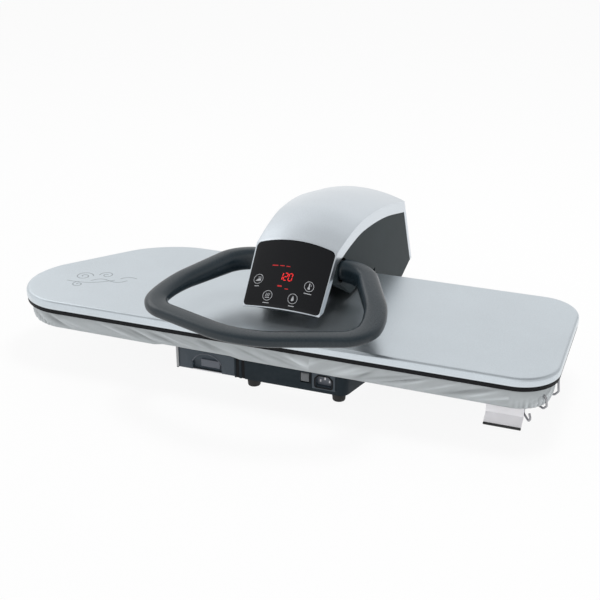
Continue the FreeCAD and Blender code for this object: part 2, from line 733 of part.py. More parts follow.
screw_places = [(spread * side, y) for spread in (D.foot_left * 2, D.foot_left / 2)
                for side, y in ((-1, foot_rear), (1, foot_rear))]
screw_z = D.foot_height - D.screw_head_height
keep("base_screws", group("base_screw_heads", [
    cylinder("screw%d" % k, "Z", x, y, screw_z, D.screw_head, D.screw_head_height)
    for k, (x, y) in enumerate(screw_places)]))

# Hinge bracket, pin and lift springs
bracket_block = side_profile("bracket_block", [
    (D.bracket_front, FLOOR_TOP), (D.bracket_rear, FLOOR_TOP), (D.bracket_rear, D.bracket_top),
    (D.hinge_y * 2 - D.bracket_rear, D.bracket_top), (D.bracket_front, D.bracket_nose)],
    -D.bracket_half, D.bracket_half * 2)
bracket_gap = box("bracket_gap", D.bracket_sheet - D.bracket_half, D.bracket_front - D.bracket_sheet,
                  FLOOR_TOP + D.bracket_sheet, (D.bracket_half - D.bracket_sheet) * 2,
                  D.bracket_rear, D.bracket_top)
pin_bore = cylinder("pin_bore", "X", -D.bracket_half * 2, D.hinge_y, D.hinge_z, D.hinge_radius,
                    D.bracket_half * 4)
keep("hinge_bracket", cut("hinge_bracket_sheet", bracket_block, bracket_gap, pin_bore))
keep("hinge_pin", cylinder("hinge_pin_bar", "X", -D.bracket_half - D.bracket_sheet / 2, D.hinge_y,
                           D.hinge_z, D.hinge_radius, D.bracket_half * 2 + D.bracket_sheet))
spring_length = D.bracket_half - D.bracket_sheet - D.side_plate_x - D.side_plate - D.seat_gap * 4
spring_space = D.bracket_half - D.bracket_sheet
springs = []
for side, start in (("left", -spring_space), ("right", spring_space - spring_length)):
    coil = cylinder("coil_" + side, "X", start, D.hinge_y, D.hinge_z, D.spring_radius, spring_length)
    bore = cylinder("coil_bore_" + side, "X", start - spring_length, D.hinge_y, D.hinge_z, D.spring_bore,
                    spring_length * 3)
    springs.append(cut("lift_spring_" + side, coil, bore))
keep("lift_springs", group("lift_spring_pair", springs))

# Places of the water tank and its valve
tank_z = FLOOR_TOP + D.seat_gap
tank_front_y = D.base_setback + D.tank_front
tank_body_length = TANK_LENGTH - D.tank_front
tank_rear_y = D.base_setback + TANK_LENGTH
tank_mid_x = D.tank_width / 2 - D.tank_left
lid_z = tank_z + D.tank_height - D.tank_wall
socket_y = tank_rear_y + D.valve_length - D.socket_lap
suction_start_y = socket_y + (D.socket_depth + D.socket_length) / 2
suction_start_x = tank_mid_x + D.socket_half

# Pump and power board in the base
pump_z = FLOOR_TOP + D.pump_foot + D.pump_radius
pump_body = cylinder("pump_body", "Y", ZERO, PUMP_Y, pump_z, D.pump_radius, D.pump_length)
pump_nozzle = cylinder("pump_nozzle", "Y", ZERO, PUMP_Y + D.pump_length, pump_z, D.hose_radius,
                       D.nozzle_length)
pump_port = cylinder("pump_port", "X", -D.pump_radius - D.nozzle_length, suction_start_y, pump_z,
                     D.hose_radius, D.pump_radius + D.nozzle_length)
pump_seat = box("pump_seat", -D.pump_radius / 2, PUMP_Y + D.pump_length / 4, FLOOR_TOP, D.pump_radius,
                D.pump_length / 2, D.pump_foot + D.pump_radius / 2)
keep("pump", fuse("pump_assembly", pump_body, pump_nozzle, pump_port, pump_seat))

power_z = FLOOR_TOP + D.standoff
power_sheet = box("power_sheet", -D.power_left, D.power_front, power_z, D.power_width, D.power_depth,
                  D.circuit_thick)
coil_block = box("transformer", -D.power_left + D.standoff, D.power_front + D.standoff,
                 power_z + D.circuit_thick, D.power_width / 3, D.power_depth / 2, D.standoff)
capacitor = cylinder("capacitor", "Z", D.power_width / 2 - D.power_left, D.power_front + D.standoff,
                     power_z + D.circuit_thick, D.standoff_radius * 2, D.standoff)
terminal = box("terminal", D.power_width - D.power_left - D.standoff * 2,
               D.power_front + D.power_depth - D.standoff, power_z + D.circuit_thick, D.standoff * 2,
               D.standoff, D.standoff)
keep("power_board", fuse("power_board_set", power_sheet, coil_block, capacitor, terminal))
corner_in = D.standoff_radius * 2
standoff_places = [(x, y) for x in (corner_in - D.power_left, D.power_width - D.power_left - corner_in)
                   for y in (D.power_front + corner_in, D.power_front + D.power_depth - corner_in)]
keep("board_standoffs", group("standoff_group", [
    cylinder("standoff%d" % k, "Z", x, y, FLOOR_TOP, D.standoff_radius, D.standoff)
    for k, (x, y) in enumerate(standoff_places)]))

# Power switch: housing and rocker
axle_y = D.base_setback + D.rocker_depth
housing_half = D.rocker_half + D.switch_gap + D.switch_wall
housing_low = D.switch_z - D.rocker_radius - D.switch_gap - D.switch_wall
housing = box("switch_block", D.switch_x - housing_half, D.base_setback + D.base_wall, housing_low,
              housing_half * 2, D.switch_length, (D.rocker_radius + D.switch_gap + D.switch_wall) * 2)
well = cylinder("switch_well", "X", D.switch_x - D.rocker_half - D.switch_gap, axle_y, D.switch_z,
                D.rocker_radius + D.switch_gap, (D.rocker_half + D.switch_gap) * 2)
mouth = box("switch_mouth", D.switch_x - D.rocker_half - D.switch_gap, D.base_setback,
            D.switch_z - D.rocker_radius, (D.rocker_half + D.switch_gap) * 2, D.rocker_depth,
            D.rocker_radius * 2)
axle_bore = cylinder("axle_bore", "X", D.switch_x - housing_half * 2, axle_y, D.switch_z,
                     D.axle_radius + D.run_gap, housing_half * 4)
keep("switch_housing", cut("switch_housing_shell", housing, well, mouth, axle_bore))
rocker_round = cylinder("rocker_round", "X", D.switch_x - D.rocker_half, axle_y, D.switch_z,
                        D.rocker_radius, D.rocker_half * 2)
rocker_face = box("rocker_face", D.switch_x - D.rocker_half * 2,
                  axle_y - D.rocker_flat - D.rocker_radius * 2, D.switch_z - D.rocker_radius * 2,
                  D.rocker_half * 4, D.rocker_radius * 2, D.rocker_radius * 4)
rocker_axle = cylinder("rocker_axle", "X", D.switch_x - housing_half, axle_y, D.switch_z, D.axle_radius,
                       housing_half * 2)
keep("power_rocker", fuse("power_rocker_key", cut("rocker_flatted", rocker_round, rocker_face),
                          rocker_axle))

# Mains inlet: framed socket and its three pins
inlet_front = D.base_setback - D.inlet_proud
inlet_plate = box("inlet_plate", D.inlet_x - D.inlet_frame / 2, inlet_front,
                  D.inlet_z - D.inlet_frame_height / 2, D.inlet_frame, D.inlet_proud,
                  D.inlet_frame_height)
inlet_body = box("inlet_body", D.inlet_x - D.inlet_width / 2 - D.inlet_wall, D.base_setback,
                 D.inlet_z - D.inlet_height / 2 - D.inlet_wall, D.inlet_width + D.inlet_wall * 2,
                 D.inlet_depth + D.inlet_back - D.inlet_proud, D.inlet_height + D.inlet_wall * 2)
inlet_top = D.inlet_z + D.inlet_height / 2
inlet_low = D.inlet_z - D.inlet_height / 2
inlet_left = D.inlet_x - D.inlet_width / 2
inlet_right = D.inlet_x + D.inlet_width / 2
inlet_cavity = front_profile("inlet_cavity", [
    (inlet_left, inlet_low), (inlet_right, inlet_low), (inlet_right, inlet_top - D.inlet_bevel),
    (inlet_right - D.inlet_bevel, inlet_top), (inlet_left + D.inlet_bevel, inlet_top),
    (inlet_left, inlet_top - D.inlet_bevel)], inlet_front - D.inlet_proud, D.inlet_depth + D.inlet_proud)
inlet_rear = inlet_front + D.inlet_depth + D.inlet_back


def inlet_blades(name):
    """Three flat pins, the middle one higher than the outer two."""
    made = []
    for k in (-1, 0, 1):
        rise = D.blade_rise / 2 if k == 0 else -D.blade_rise / 2
        made.append(box("%s%d" % (name, k + 1), D.inlet_x + D.blade_pitch * k - D.blade_width / 2,
                        inlet_rear - D.blade_length, D.inlet_z + rise - D.blade_height / 2,
                        D.blade_width, D.blade_length, D.blade_height))
    return made


keep("inlet_socket", cut("inlet_socket_body", fuse("inlet_framed", inlet_plate, inlet_body), inlet_cavity,
                         *inlet_blades("blade_slot")))
keep("inlet_pins", group("inlet_pin_set", inlet_blades("blade")))
mains_wire = tube("mains_wire", "XY", D.inlet_x + D.wire_pitch / 2, inlet_rear, D.inlet_z, [
    (ZERO, ZERO), (ZERO, D.power_front + D.power_depth - D.standoff / 2 - inlet_rear),
    (D.power_width - D.power_left - D.inlet_x - D.wire_pitch / 2,
     D.power_front + D.power_depth - D.standoff / 2 - inlet_rear)], D.wire_bend, D.wire_radius)
switch_rear = D.base_setback + D.base_wall + D.switch_length
switch_wire = tube("switch_wire", "XY", D.inlet_x - D.wire_pitch / 2, inlet_rear, D.inlet_z, [
    (ZERO, ZERO), (ZERO, D.wire_loop - inlet_rear),
    (D.switch_x - D.inlet_x + D.wire_pitch / 2, D.wire_loop - inlet_rear),
    (D.switch_x - D.inlet_x + D.wire_pitch / 2, switch_rear - inlet_rear)], D.wire_bend, D.wire_radius)
keep("mains_wiring", group("mains_wire_set", [mains_wire, switch_wire]))

# Water tank: body, lid, front with its finger recess, plug and valve
tank_outer = box("tank_outer", -D.tank_left, tank_front_y, tank_z, D.tank_width, tank_body_length,
                 D.tank_height - D.tank_wall)
tank_inner = box("tank_inner", D.tank_wall - D.tank_left, tank_front_y + D.tank_wall, tank_z + D.tank_wall,
                 D.tank_width - D.tank_wall * 2, tank_body_length - D.tank_wall * 2, D.tank_height)
valve_port = cylinder("valve_port", "Y", tank_mid_x, tank_rear_y - D.tank_wall * 2, pump_z, D.hose_radius,
                      D.tank_wall * 4)
keep("tank_body", cut("tank_box", tank_outer, tank_inner, valve_port))
tank_top = box("tank_top", -D.tank_left, tank_front_y, lid_z, D.tank_width, tank_body_length, D.tank_wall)
plug_y = tank_front_y + D.filler_radius * 3
filler = cylinder("filler", "Z", tank_mid_x, plug_y, lid_z - D.tank_wall, D.filler_radius, D.tank_wall * 3)
keep("tank_lid", cut("tank_lid_sheet", tank_top, filler))
keep("tank_cap", cylinder("tank_plug", "Z", tank_mid_x, plug_y, lid_z - D.cap_height,
                          D.filler_radius - D.run_gap, D.cap_height + D.tank_wall))
keep("tank_valve", cylinder("tank_valve_body", "Y", tank_mid_x, tank_rear_y, pump_z, D.valve_radius,
                            D.valve_length))
front_block = box("front_block", -D.tank_left, D.base_setback, tank_z, D.tank_width, D.tank_front,
                  D.tank_height)
recess = box("recess", -D.pull_left, D.base_setback - D.pull_depth, tank_z - D.pull_low, D.pull_width,
             D.pull_depth * 2, D.pull_low * 2)
half_pull = D.pull_width / 2
scoop_radius = (half_pull * half_pull + D.scoop_height * D.scoop_height) / D.scoop_height / 2
scoop_round = cylinder("scoop_round", "Y", half_pull - D.pull_left, D.base_setback - D.scoop_depth,
                       tank_z + D.pull_low + D.scoop_height - scoop_radius, scoop_radius, D.scoop_depth * 2)
scoop_space = box("scoop_space", -D.pull_left, D.base_setback - D.pull_depth,
                  tank_z + D.pull_low - D.tank_wall, D.pull_width, D.pull_depth * 2, D.tank_height)
scoop = common("scoop", scoop_round, scoop_space)
keep("tank_front", cut("tank_front_panel", cut("tank_front_recessed", front_block, recess), scoop))

# Valve socket and suction hose between tank and pump
socket_block = box("socket_block", tank_mid_x - D.socket_half, socket_y, FLOOR_TOP, D.socket_half * 2,
                   D.socket_length, pump_z - FLOOR_TOP + D.socket_half)
socket_bore = cylinder("socket_bore", "Y", tank_mid_x, socket_y - D.socket_depth, pump_z,
                       D.valve_radius + D.seat_gap, D.socket_depth * 2)
keep("tank_socket", cut("tank_socket_block", socket_block, socket_bore))
keep("suction_hose", cylinder("suction_tube", "X", suction_start_x, suction_start_y, pump_z, D.hose_radius,
                              -D.pump_radius - D.nozzle_length - suction_start_x))

# Water hose from the pump past the hinge to the heated plate
hose_y = PUMP_Y + D.pump_length + D.nozzle_length
keep("water_hose", tube("water_tube", "YZ", ZERO, hose_y, pump_z, [
    (ZERO, ZERO), (D.hose_rise_y - hose_y, ZERO), (D.hose_rise_y - hose_y, D.hose_high_z - pump_z),
    (D.hose_top_y - hose_y, D.hose_top_z - pump_z), (D.nipple_y - hose_y, D.hose_top_z - pump_z),
    (D.nipple_y - hose_y, D.nipple_top - pump_z)], D.hose_bend, D.hose_radius))

# Board: rails, perforated tray, felt pad and cloth cover
rails = []
for k in range(2):
    rail_y = D.rail_front + D.rail_pitch * k
    rail_block = box("rail_block%d" % k, -D.rail_left, rail_y, BASE_TOP, D.rail_left + D.rail_right,
                     D.rail_width, D.rail_height)
    rail_space = box("rail_space%d" % k, -D.rail_left * 2, rail_y + D.rail_wall, BASE_TOP - D.rail_wall,
                     FAR * 2, D.rail_width - D.rail_wall * 2, D.rail_height)
    rails.append(cut("rail%d" % k, rail_block, rail_space))
keep("board_rails", group("board_rail_pair", rails))

tray_z = TRAY_TOP - D.tray_flange
tray_outer = slab("tray_outer", plate_outline(D.tray_inset), tray_z, D.tray_flange)
tray_space = slab("tray_space", plate_outline(D.tray_inset + D.tray_sheet), tray_z - D.tray_sheet,
                  D.tray_flange)
vents = [cylinder("vent%d_%d" % (row, k), "Z", D.vent_pitch * (k - 3),
                  D.plate_depth / 2 + D.vent_row * (row - 1), TRAY_UNDER - D.tray_sheet, D.vent_radius,
                  D.tray_sheet * 3) for row in range(3) for k in range(8)]
keep("board_tray", cut("board_tray_sheet", cut("tray_pan", tray_outer, tray_space), *vents))

pad_slab = slab("pad_slab", plate_outline(D.pad_inset), TRAY_TOP, D.pad_thickness)
keep("board_pad", round_edges(pad_slab, "pad_edge", D.cloth_round - D.cloth_wall, at_height(PAD_TOP)))

cloth_outer = slab("cloth_outer", plate_outline(D.cloth_inset), SKIRT_Z, D.skirt_height)
round_edges(cloth_outer, "cloth_outer_edge", D.cloth_round, at_height(CLOTH_TOP))
round_edges(cloth_outer, "cloth_lower_edge", D.cloth_round, at_height(SKIRT_Z))
cloth_space = slab("cloth_space", plate_outline(D.cloth_inset + D.cloth_wall), SKIRT_Z + D.cloth_wall,
                   D.skirt_height - D.cloth_wall * 2)
lining_round = D.cloth_round - D.cloth_wall
round_edges(cloth_space, "cloth_space_edge", lining_round, at_height(CLOTH_TOP - D.cloth_wall))
round_edges(cloth_space, "cloth_space_lower", lining_round, at_height(SKIRT_Z + D.cloth_wall))
hem_opening = slab("hem_opening", plate_outline(D.cloth_inset + D.hem_width), SKIRT_Z - D.cloth_wall,
                   D.cloth_wall * 3)
keep("board_cover", cut("board_cloth", cut("cloth_bag", cloth_outer, cloth_space), hem_opening))

# Bright bracket and wire hooks under the right end of the board
lip_fall = D.clip_lip_drop / D.clip_lip_reach
web_foot = TRAY_UNDER - D.clip_drop
lip_sheet = D.clip_sheet * (lip_fall * lip_fall + 1).root()
keep("cover_clip", side_profile("clip_sheet_metal", [
    (D.clip_y + D.clip_flange, TRAY_UNDER), (D.clip_y, TRAY_UNDER), (D.clip_y, web_foot),
    (D.clip_y - D.clip_lip_reach, web_foot - D.clip_lip_drop),
    (D.clip_y - D.clip_lip_reach, web_foot - D.clip_lip_drop - lip_sheet),
    (D.clip_y + D.clip_sheet, web_foot - lip_sheet + D.clip_sheet * lip_fall),
    (D.clip_y + D.clip_sheet, TRAY_UNDER - D.clip_sheet),
    (D.clip_y + D.clip_flange, TRAY_UNDER - D.clip_sheet)], D.clip_left, D.clip_width))
keep("clip_edging", box("clip_rubber", D.clip_left, D.clip_y - D.clip_lip_reach - D.clip_edge,
                        web_foot - D.clip_lip_drop - lip_sheet - D.clip_sheet / 2, D.clip_width,
                        D.clip_edge, lip_sheet + D.clip_sheet))
hooks = [tube("hook%d" % k, "XZ", D.hook_x, D.hook_front + D.hook_pitch * k, TRAY_UNDER, [
    (ZERO, ZERO), (ZERO, -D.hook_drop), (D.hook_span, -D.hook_drop),
    (D.hook_span, SKIRT_Z - D.seat_gap - TRAY_UNDER)], D.hook_bend, D.hook_wire) for k in range(3)]
keep("cover_hooks", group("cover_hook_set", hooks))

# Heated plate: cover, rim, soleplate and what sits on it
cover_block = slab("cover_block", plate_outline(0), RIM_TOP, D.cover_height)
round_edges(cover_block, "cover_edge", D.cover_round, at_height(COVER_TOP))
cover_space = slab("cover_space", plate_outline(D.cover_wall), RIM_TOP - D.cover_wall, D.cover_height)
round_edges(cover_space, "cover_space_edge", D.cover_round - D.cover_wall,
            at_height(COVER_TOP - D.cover_wall))
yoke_opening = box("yoke_opening", -D.slot_half, D.slot_front, COVER_TOP - D.cover_wall * 2,
                   D.slot_half * 2, D.slot_depth, D.cover_wall * 4)
keep("plate_cover", cut("plate_cover_shell", cut("plate_shell", cover_block, cover_space), yoke_opening))

rim_outer = slab("rim_outer", plate_outline(D.rim_inset), RIM_TOP - D.rim_height, D.rim_height)
rim_space = slab("rim_space", plate_outline(D.rim_inner), RIM_TOP - D.rim_height * 2, D.rim_height * 3)
keep("plate_rim", cut("plate_rim_ring", rim_outer, rim_space))

sole_slab = slab("sole_slab", plate_outline(D.sole_inset), SOLE_Z, D.sole_depth)
flange_slab = slab("flange_slab", plate_outline(D.flange_inset), RIM_TOP, D.flange_thick)
steam_holes = [cylinder("steam%d_%d" % (row, k), "Z", D.steam_pitch * (k - 7),
                        D.plate_depth / 2 + D.steam_row * row - D.steam_row * 3 / 2,
                        SOLE_Z - D.flange_thick, D.steam_hole_radius,
                        D.sole_depth + D.flange_thick * 3) for row in range(4) for k in range(16)]
keep("soleplate", cut("soleplate_drilled", fuse("soleplate_blank", sole_slab, flange_slab), *steam_holes))

element_reach = -D.element_left - D.element_right
element_path = [(ZERO, D.element_span), (element_reach, D.element_span), (element_reach, ZERO), (ZERO, ZERO)]
keep("heating_element", tube("element_tube", "XY", D.element_right, D.element_front,
                             FLANGE_TOP + D.element_radius, element_path, D.element_bend, D.element_radius))
chest_rear = D.chest_front + D.chest_depth
chest_right = D.chest_length - D.chest_left
keep("steam_chest", slab("steam_chest_block", ([
    (chest_right, D.chest_front), (chest_right, chest_rear), (-D.chest_left, chest_rear),
    (-D.chest_left, D.chest_front)], [D.chest_corner] * 4), FLANGE_TOP, D.chest_height))
keep("thermostat", cylinder("thermostat_can", "Z", D.stat_x, D.stat_y, FLANGE_TOP, D.stat_radius,
                            D.stat_height))
spacer_places = [(-D.spacer_nose_x, D.spacer_nose_y), (-D.spacer_x, D.spacer_y), (D.spacer_x, D.spacer_y),
                 (D.spacer_end_x, D.spacer_nose_y)]
keep("plate_spacers", group("plate_spacer_set", [
    cylinder("spacer%d" % k, "Z", x, y, FLANGE_TOP, D.spacer_radius, COVER_TOP - D.cover_wall - FLANGE_TOP)
    for k, (x, y) in enumerate(spacer_places)]))

yoke_top = FLANGE_TOP + D.yoke_base
yoke_front = D.slot_front + D.yoke_base
yoke_foot = box("yoke_foot", -D.yoke_half, yoke_front, FLANGE_TOP, D.yoke_half * 2,
                D.slot_depth - D.yoke_base * 2, D.yoke_base)
ear_height = D.pivot_z + D.ear_top - yoke_top
ears = [box("ear%d" % k, x, D.pivot_y - D.ear_depth / 2, yoke_top, D.yoke_ear, D.ear_depth, ear_height)
        for k, x in enumerate((-D.yoke_half, D.yoke_half - D.yoke_ear))]
cam_low = D.handle_z - D.cam_offset - D.cam_radius
press_block = box("press_block", -D.press_half, D.handle_y - D.press_depth / 2, yoke_top, D.press_half * 2,
                  D.press_depth, cam_low - D.seat_gap - yoke_top)
ear_bore = cylinder("ear_bore", "X", -D.yoke_half * 2, D.pivot_y, D.pivot_z, D.pivot_radius + D.run_gap,
                    D.yoke_half * 4)
keep("plate_yoke", cut("plate_yoke_casting", fuse("yoke_blank", yoke_foot, press_block, *ears), ear_bore))
keep("plate_nipple", cylinder("nipple_tube", "Z", ZERO, D.nipple_y, yoke_top, D.nipple_radius,
                              D.nipple_top - yoke_top))

# Arm: every curved piece is cut from the same arched form, drawn in by its own insets
tail_fall = (D.back_z - D.tail_z) / (D.tail_y - D.back_y)
ARCH = [
    (D.brow_y, D.brow_z, D.brow_crown),
    (D.bend_y, D.bend_z, D.bend_crown),
    (D.crest_y, D.crest_z, D.crest_crown),
    (D.back_y, D.back_z, D.back_crown),
    (D.tail_y, D.tail_z, D.tail_crown),
    (D.tail_y + D.tail_run, D.tail_z - D.tail_run * tail_fall, D.tail_crown),
]
TOE = (D.toe_y, D.toe_z, D.toe_crown)


def arm_section(name, station, inset, drop, growth):
    """One upright cross-section of the arm: straight sides under a crowned top."""
    y, edge, crown = station
    half = D.arm_front_half + D.arm_flare * (y - D.lip_y) - inset
    top = edge - drop - growth * (y - D.lip_y) / (D.tail_y - D.lip_y)
    low = D.foot_height
    sketch = doc.addObject("Sketcher::SketchObject", name)
    sketch.Placement = FreeCAD.Placement(V(), FreeCAD.Rotation(V(1, 0, 0), 90))
    place(sketch, ZERO, y, ZERO)
    corners = [(-half, low), (half, low), (half, top), (-half, top)]
    points = [V(x.value, z.value, 0) for x, z in corners]
    for first, second in ((0, 1), (1, 2), (3, 0)):
        sketch.addGeometry(Part.LineSegment(points[first], points[second]), False)
    peak = top + crown
    arc = sketch.addGeometry(Part.Arc(points[2], V(0, peak.value, 0), points[3]), False)
    start = 1 if (sketch.Geometry[arc].StartPoint - points[2]).Length < 1e-6 else 2
    sketch.addConstraint(Sketcher.Constraint("Coincident", 0, 2, 1, 1))
    sketch.addConstraint(Sketcher.Constraint("Coincident", 2, 2, 0, 1))
    sketch.addConstraint(Sketcher.Constraint("Coincident", 1, 2, arc, start))
    sketch.addConstraint(Sketcher.Constraint("Coincident", 2, 1, arc, 3 - start))
    hold_point(sketch, 0, 1, *corners[0])
    hold_point(sketch, 0, 2, *corners[1])
    hold_point(sketch, 1, 2, *corners[2])
    hold_point(sketch, 2, 1, *corners[3])
    crown_point = sketch.addGeometry(Part.Point(V(0, peak.value, 0)), True)
    hold_point(sketch, crown_point, 1, ZERO, peak)
    sketch.addConstraint(Sketcher.Constraint("PointOnObject", crown_point, 1, arc))
    return sketch


def loft(name, sections, ruled):
    item = doc.addObject("Part::Loft", name)
    item.Sections = sections
    item.Solid = True
    item.Ruled = ruled
    return item


def arm_form(name, inset=ZERO, drop=ZERO, growth=ZERO, rear_inset=ZERO, deep=ZERO):
    """The arm's outer form with its sides, top, rear and belly moved inwards or (deep) downwards."""
    sections = [arm_section("%s_section%d" % (name, k), station, inset, drop, growth)
                for k, station in enumerate([TOE] + ARCH)]
    wedge = loft(name + "_wedge", sections[:2], True)
    arch = loft(name + "_arch", sections[1:], False)
    rear_run = D.tail_y - D.rear_reach
    rear_rise = D.tail_z - D.heel_z
    rear_y = D.rear_reach - rear_inset
    over = D.rear_reach * 2
    high = D.heel_z + rear_rise * 3 / 2
    trim = side_profile(name + "_trim", [
        (ZERO, -D.lip_z), (ZERO, D.lip_z - deep), (BELLY_Y, D.lip_z - deep), (BELLY_Y, D.drop_z - deep),
        (D.heel_y, D.drop_z - deep), (rear_y - deep * rear_run / rear_rise, D.heel_z - deep),
        (rear_y + rear_run * 3 / 2, high), (over, high), (over, -D.lip_z)], -FAR / 4, FAR / 2)
    return cut(name, fuse(name + "_blank", wedge, arch), trim)


SLOPE_RUN = D.brow_y - D.toe_y
SLOPE_RISE = D.brow_z - D.toe_z
SLOPE = (SLOPE_RUN * SLOPE_RUN + SLOPE_RISE * SLOPE_RISE).root()
SLOPE_COS = SLOPE_RUN / SLOPE
SLOPE_SIN = SLOPE_RISE / SLOPE
NOSE_Y = D.lip_y + D.band * SLOPE_RUN / SLOPE_RISE
CHIN_Z = D.lip_z + (D.chin_y - NOSE_Y) * SLOPE_RISE / SLOPE_RUN
CHIN_FALL = (CHIN_Z - D.lip_z) / (D.throat_y - D.chin_y)
SLOPE_TURN = FreeCAD.Rotation(V(1, 0, 0), math.degrees(math.atan2(SLOPE_RISE.value, SLOPE_RUN.value)))


def on_slope(item, across, along, out):
    """Lay a piece on the front slope: across it, up along it from the lip, and out of it."""
    item.Placement = FreeCAD.Placement(V(), SLOPE_TURN)
    place(item, across, D.lip_y + SLOPE_COS * along - SLOPE_SIN * out,
          D.lip_z + SLOPE_SIN * along + SLOPE_COS * out)
    return item


def slope_block(name, inset):
    """A rounded block through the front slope, as large as the control panel less an inset."""
    half = D.glass_half - inset
    low = D.glass_low + inset
    top = D.glass_low + D.glass_length - inset
    corner = D.glass_corner - inset
    block = pad_body(name, "XY_Plane", [(half, low), (half, top), (-half, top), (-half, low)], [corner] * 4,
                     -D.slot_half, D.slot_half * 2)
    return on_slope(block, ZERO, ZERO, ZERO)


arm_outer = arm_form("arm_outer")
arm_inner = arm_form("arm_inner", D.skin, D.skin_top, ZERO, D.skin, D.base_wall)
side_window = arm_form("side_window", -D.band, D.band, D.band_growth, D.rear_band, D.base_wall)
panel_hole = slope_block("panel_hole", -D.glass_clear)
arm_shell = cut("arm_shell", arm_outer, arm_inner)
keep("arm_cover", cut("arm_cover_shell", cut("arm_band", arm_shell, side_window), panel_hole))

panel_form = arm_form("panel_form", D.panel_step, D.band + D.panel_clear, D.band_growth,
                      D.rear_band + D.panel_clear)
frame_form = arm_form("frame_form", D.panel_step + D.panel_thick, -D.band, ZERO, -D.band, D.band)
panel_layer = cut("panel_layer", panel_form, frame_form)
hub_hole = cylinder("hub_hole", "X", -FAR / 4, D.handle_y, D.handle_z, D.hub_radius + D.hub_clear, FAR / 2)
chin_cut = side_profile("chin_cut", [
    (ZERO, D.lip_z - D.band), (D.throat_y + D.band / CHIN_FALL, D.lip_z - D.band), (D.chin_y, CHIN_Z),
    (ZERO, CHIN_Z)], -FAR / 4, FAR / 2)
panel_pair = cut("panel_pair", panel_layer, hub_hole, chin_cut)
for side, start in (("left", -FAR / 4), ("right", ZERO)):
    half_space = box("half_" + side, start, ZERO, ZERO, FAR / 4, D.rear_reach, D.crest_z)
    keep("side_panel_" + side, common("side_panel_%s_sheet" % side, panel_pair, half_space))

under_form = arm_form("under_form", D.panel_step + D.panel_thick + D.panel_clear, D.skin_top + D.seat_gap,
                      ZERO, D.skin + D.seat_gap)
under_rise = [(ZERO, D.lip_z), (NOSE_Y, D.lip_z), (D.chin_y, CHIN_Z), (D.throat_y, D.lip_z)]
under_bend = side_profile("under_bend", under_rise + [
    (BELLY_Y, D.lip_z), (BELLY_Y, D.drop_z), (BELLY_Y + D.under_thick, D.drop_z),
    (BELLY_Y + D.under_thick, D.lip_z + D.under_thick)] + [
    (y, z + D.under_thick) for y, z in reversed(under_rise)], -FAR / 4, FAR / 2)
under_sheet = common("under_sheet", under_form, under_bend)
under_slot = box("under_slot", -D.slot_half, D.slot_front, D.lip_z - D.under_thick, D.slot_half * 2,
                 D.slot_depth, CHIN_Z - D.lip_z + D.under_thick * 2)
keep("under_cover", cut("under_cover_sheet", under_sheet, under_slot))

# Control panel: gloss panel, carrier frame, circuit board, display and touch pads
glass_back = arm_form("glass_back", ZERO, D.glass_drop)
glass_layer = cut("glass_layer", arm_outer, glass_back)
keep("control_panel", common("control_panel_sheet", glass_layer, slope_block("panel_block", ZERO)))
clear_belly = -D.under_thick - D.seat_gap
carrier_front = arm_form("carrier_front", ZERO, D.glass_drop, ZERO, ZERO, clear_belly)
carrier_back = arm_form("carrier_back", -D.band, D.carrier_depth, ZERO, ZERO, D.band)
carrier_layer = cut("carrier_layer", carrier_front, carrier_back)
carrier_ring = cut("carrier_ring", slope_block("carrier_block", D.carrier_inset),
                   slope_block("carrier_space", D.carrier_inset + D.carrier_wall))
keep("panel_carrier", common("panel_carrier_frame", carrier_layer, carrier_ring))
board_clear = D.carrier_inset + D.carrier_wall + D.seat_gap * 4
board_half = D.glass_half - board_clear
board_low = D.key_low - D.key_radius + D.circuit_thick * 2
board_long = D.glass_low + D.glass_length - board_clear - board_low
board_sheet = doc.addObject("Part::Box", "board_sheet")
bind(board_sheet, "Length", board_half * 2)
bind(board_sheet, "Width", board_long)
bind(board_sheet, "Height", D.circuit_thick)
keep("control_board", on_slope(board_sheet, -board_half, board_low, -D.board_depth - D.circuit_thick))
pad_form = arm_form("pad_form", ZERO, D.glass_drop + D.seat_gap)
display_block = doc.addObject("Part::Box", "display_block")
bind(display_block, "Length", D.display_width)
bind(display_block, "Width", D.display_height)
bind(display_block, "Height", D.slot_half)
on_slope(display_block, -D.display_width / 2, D.display_low, -D.board_depth)
keep("display", common("display_unit", pad_form, display_block))
touch_bars = []
touch_places = [(-D.key_wide, D.key_high), (-D.key_near, D.key_low), (D.key_near, D.key_low),
                (D.key_wide, D.key_high)]
for k, (across, along) in enumerate(touch_places):
    bar = doc.addObject("Part::Cylinder", "touch_bar%d" % k)
    bind(bar, "Radius", D.key_radius)
    bind(bar, "Height", D.slot_half)
    on_slope(bar, across, along, -D.board_depth)
    touch_bars.append(common("touch_pad%d" % k, pad_form, bar))
keep("touch_pads", group("touch_pad_set", touch_bars))

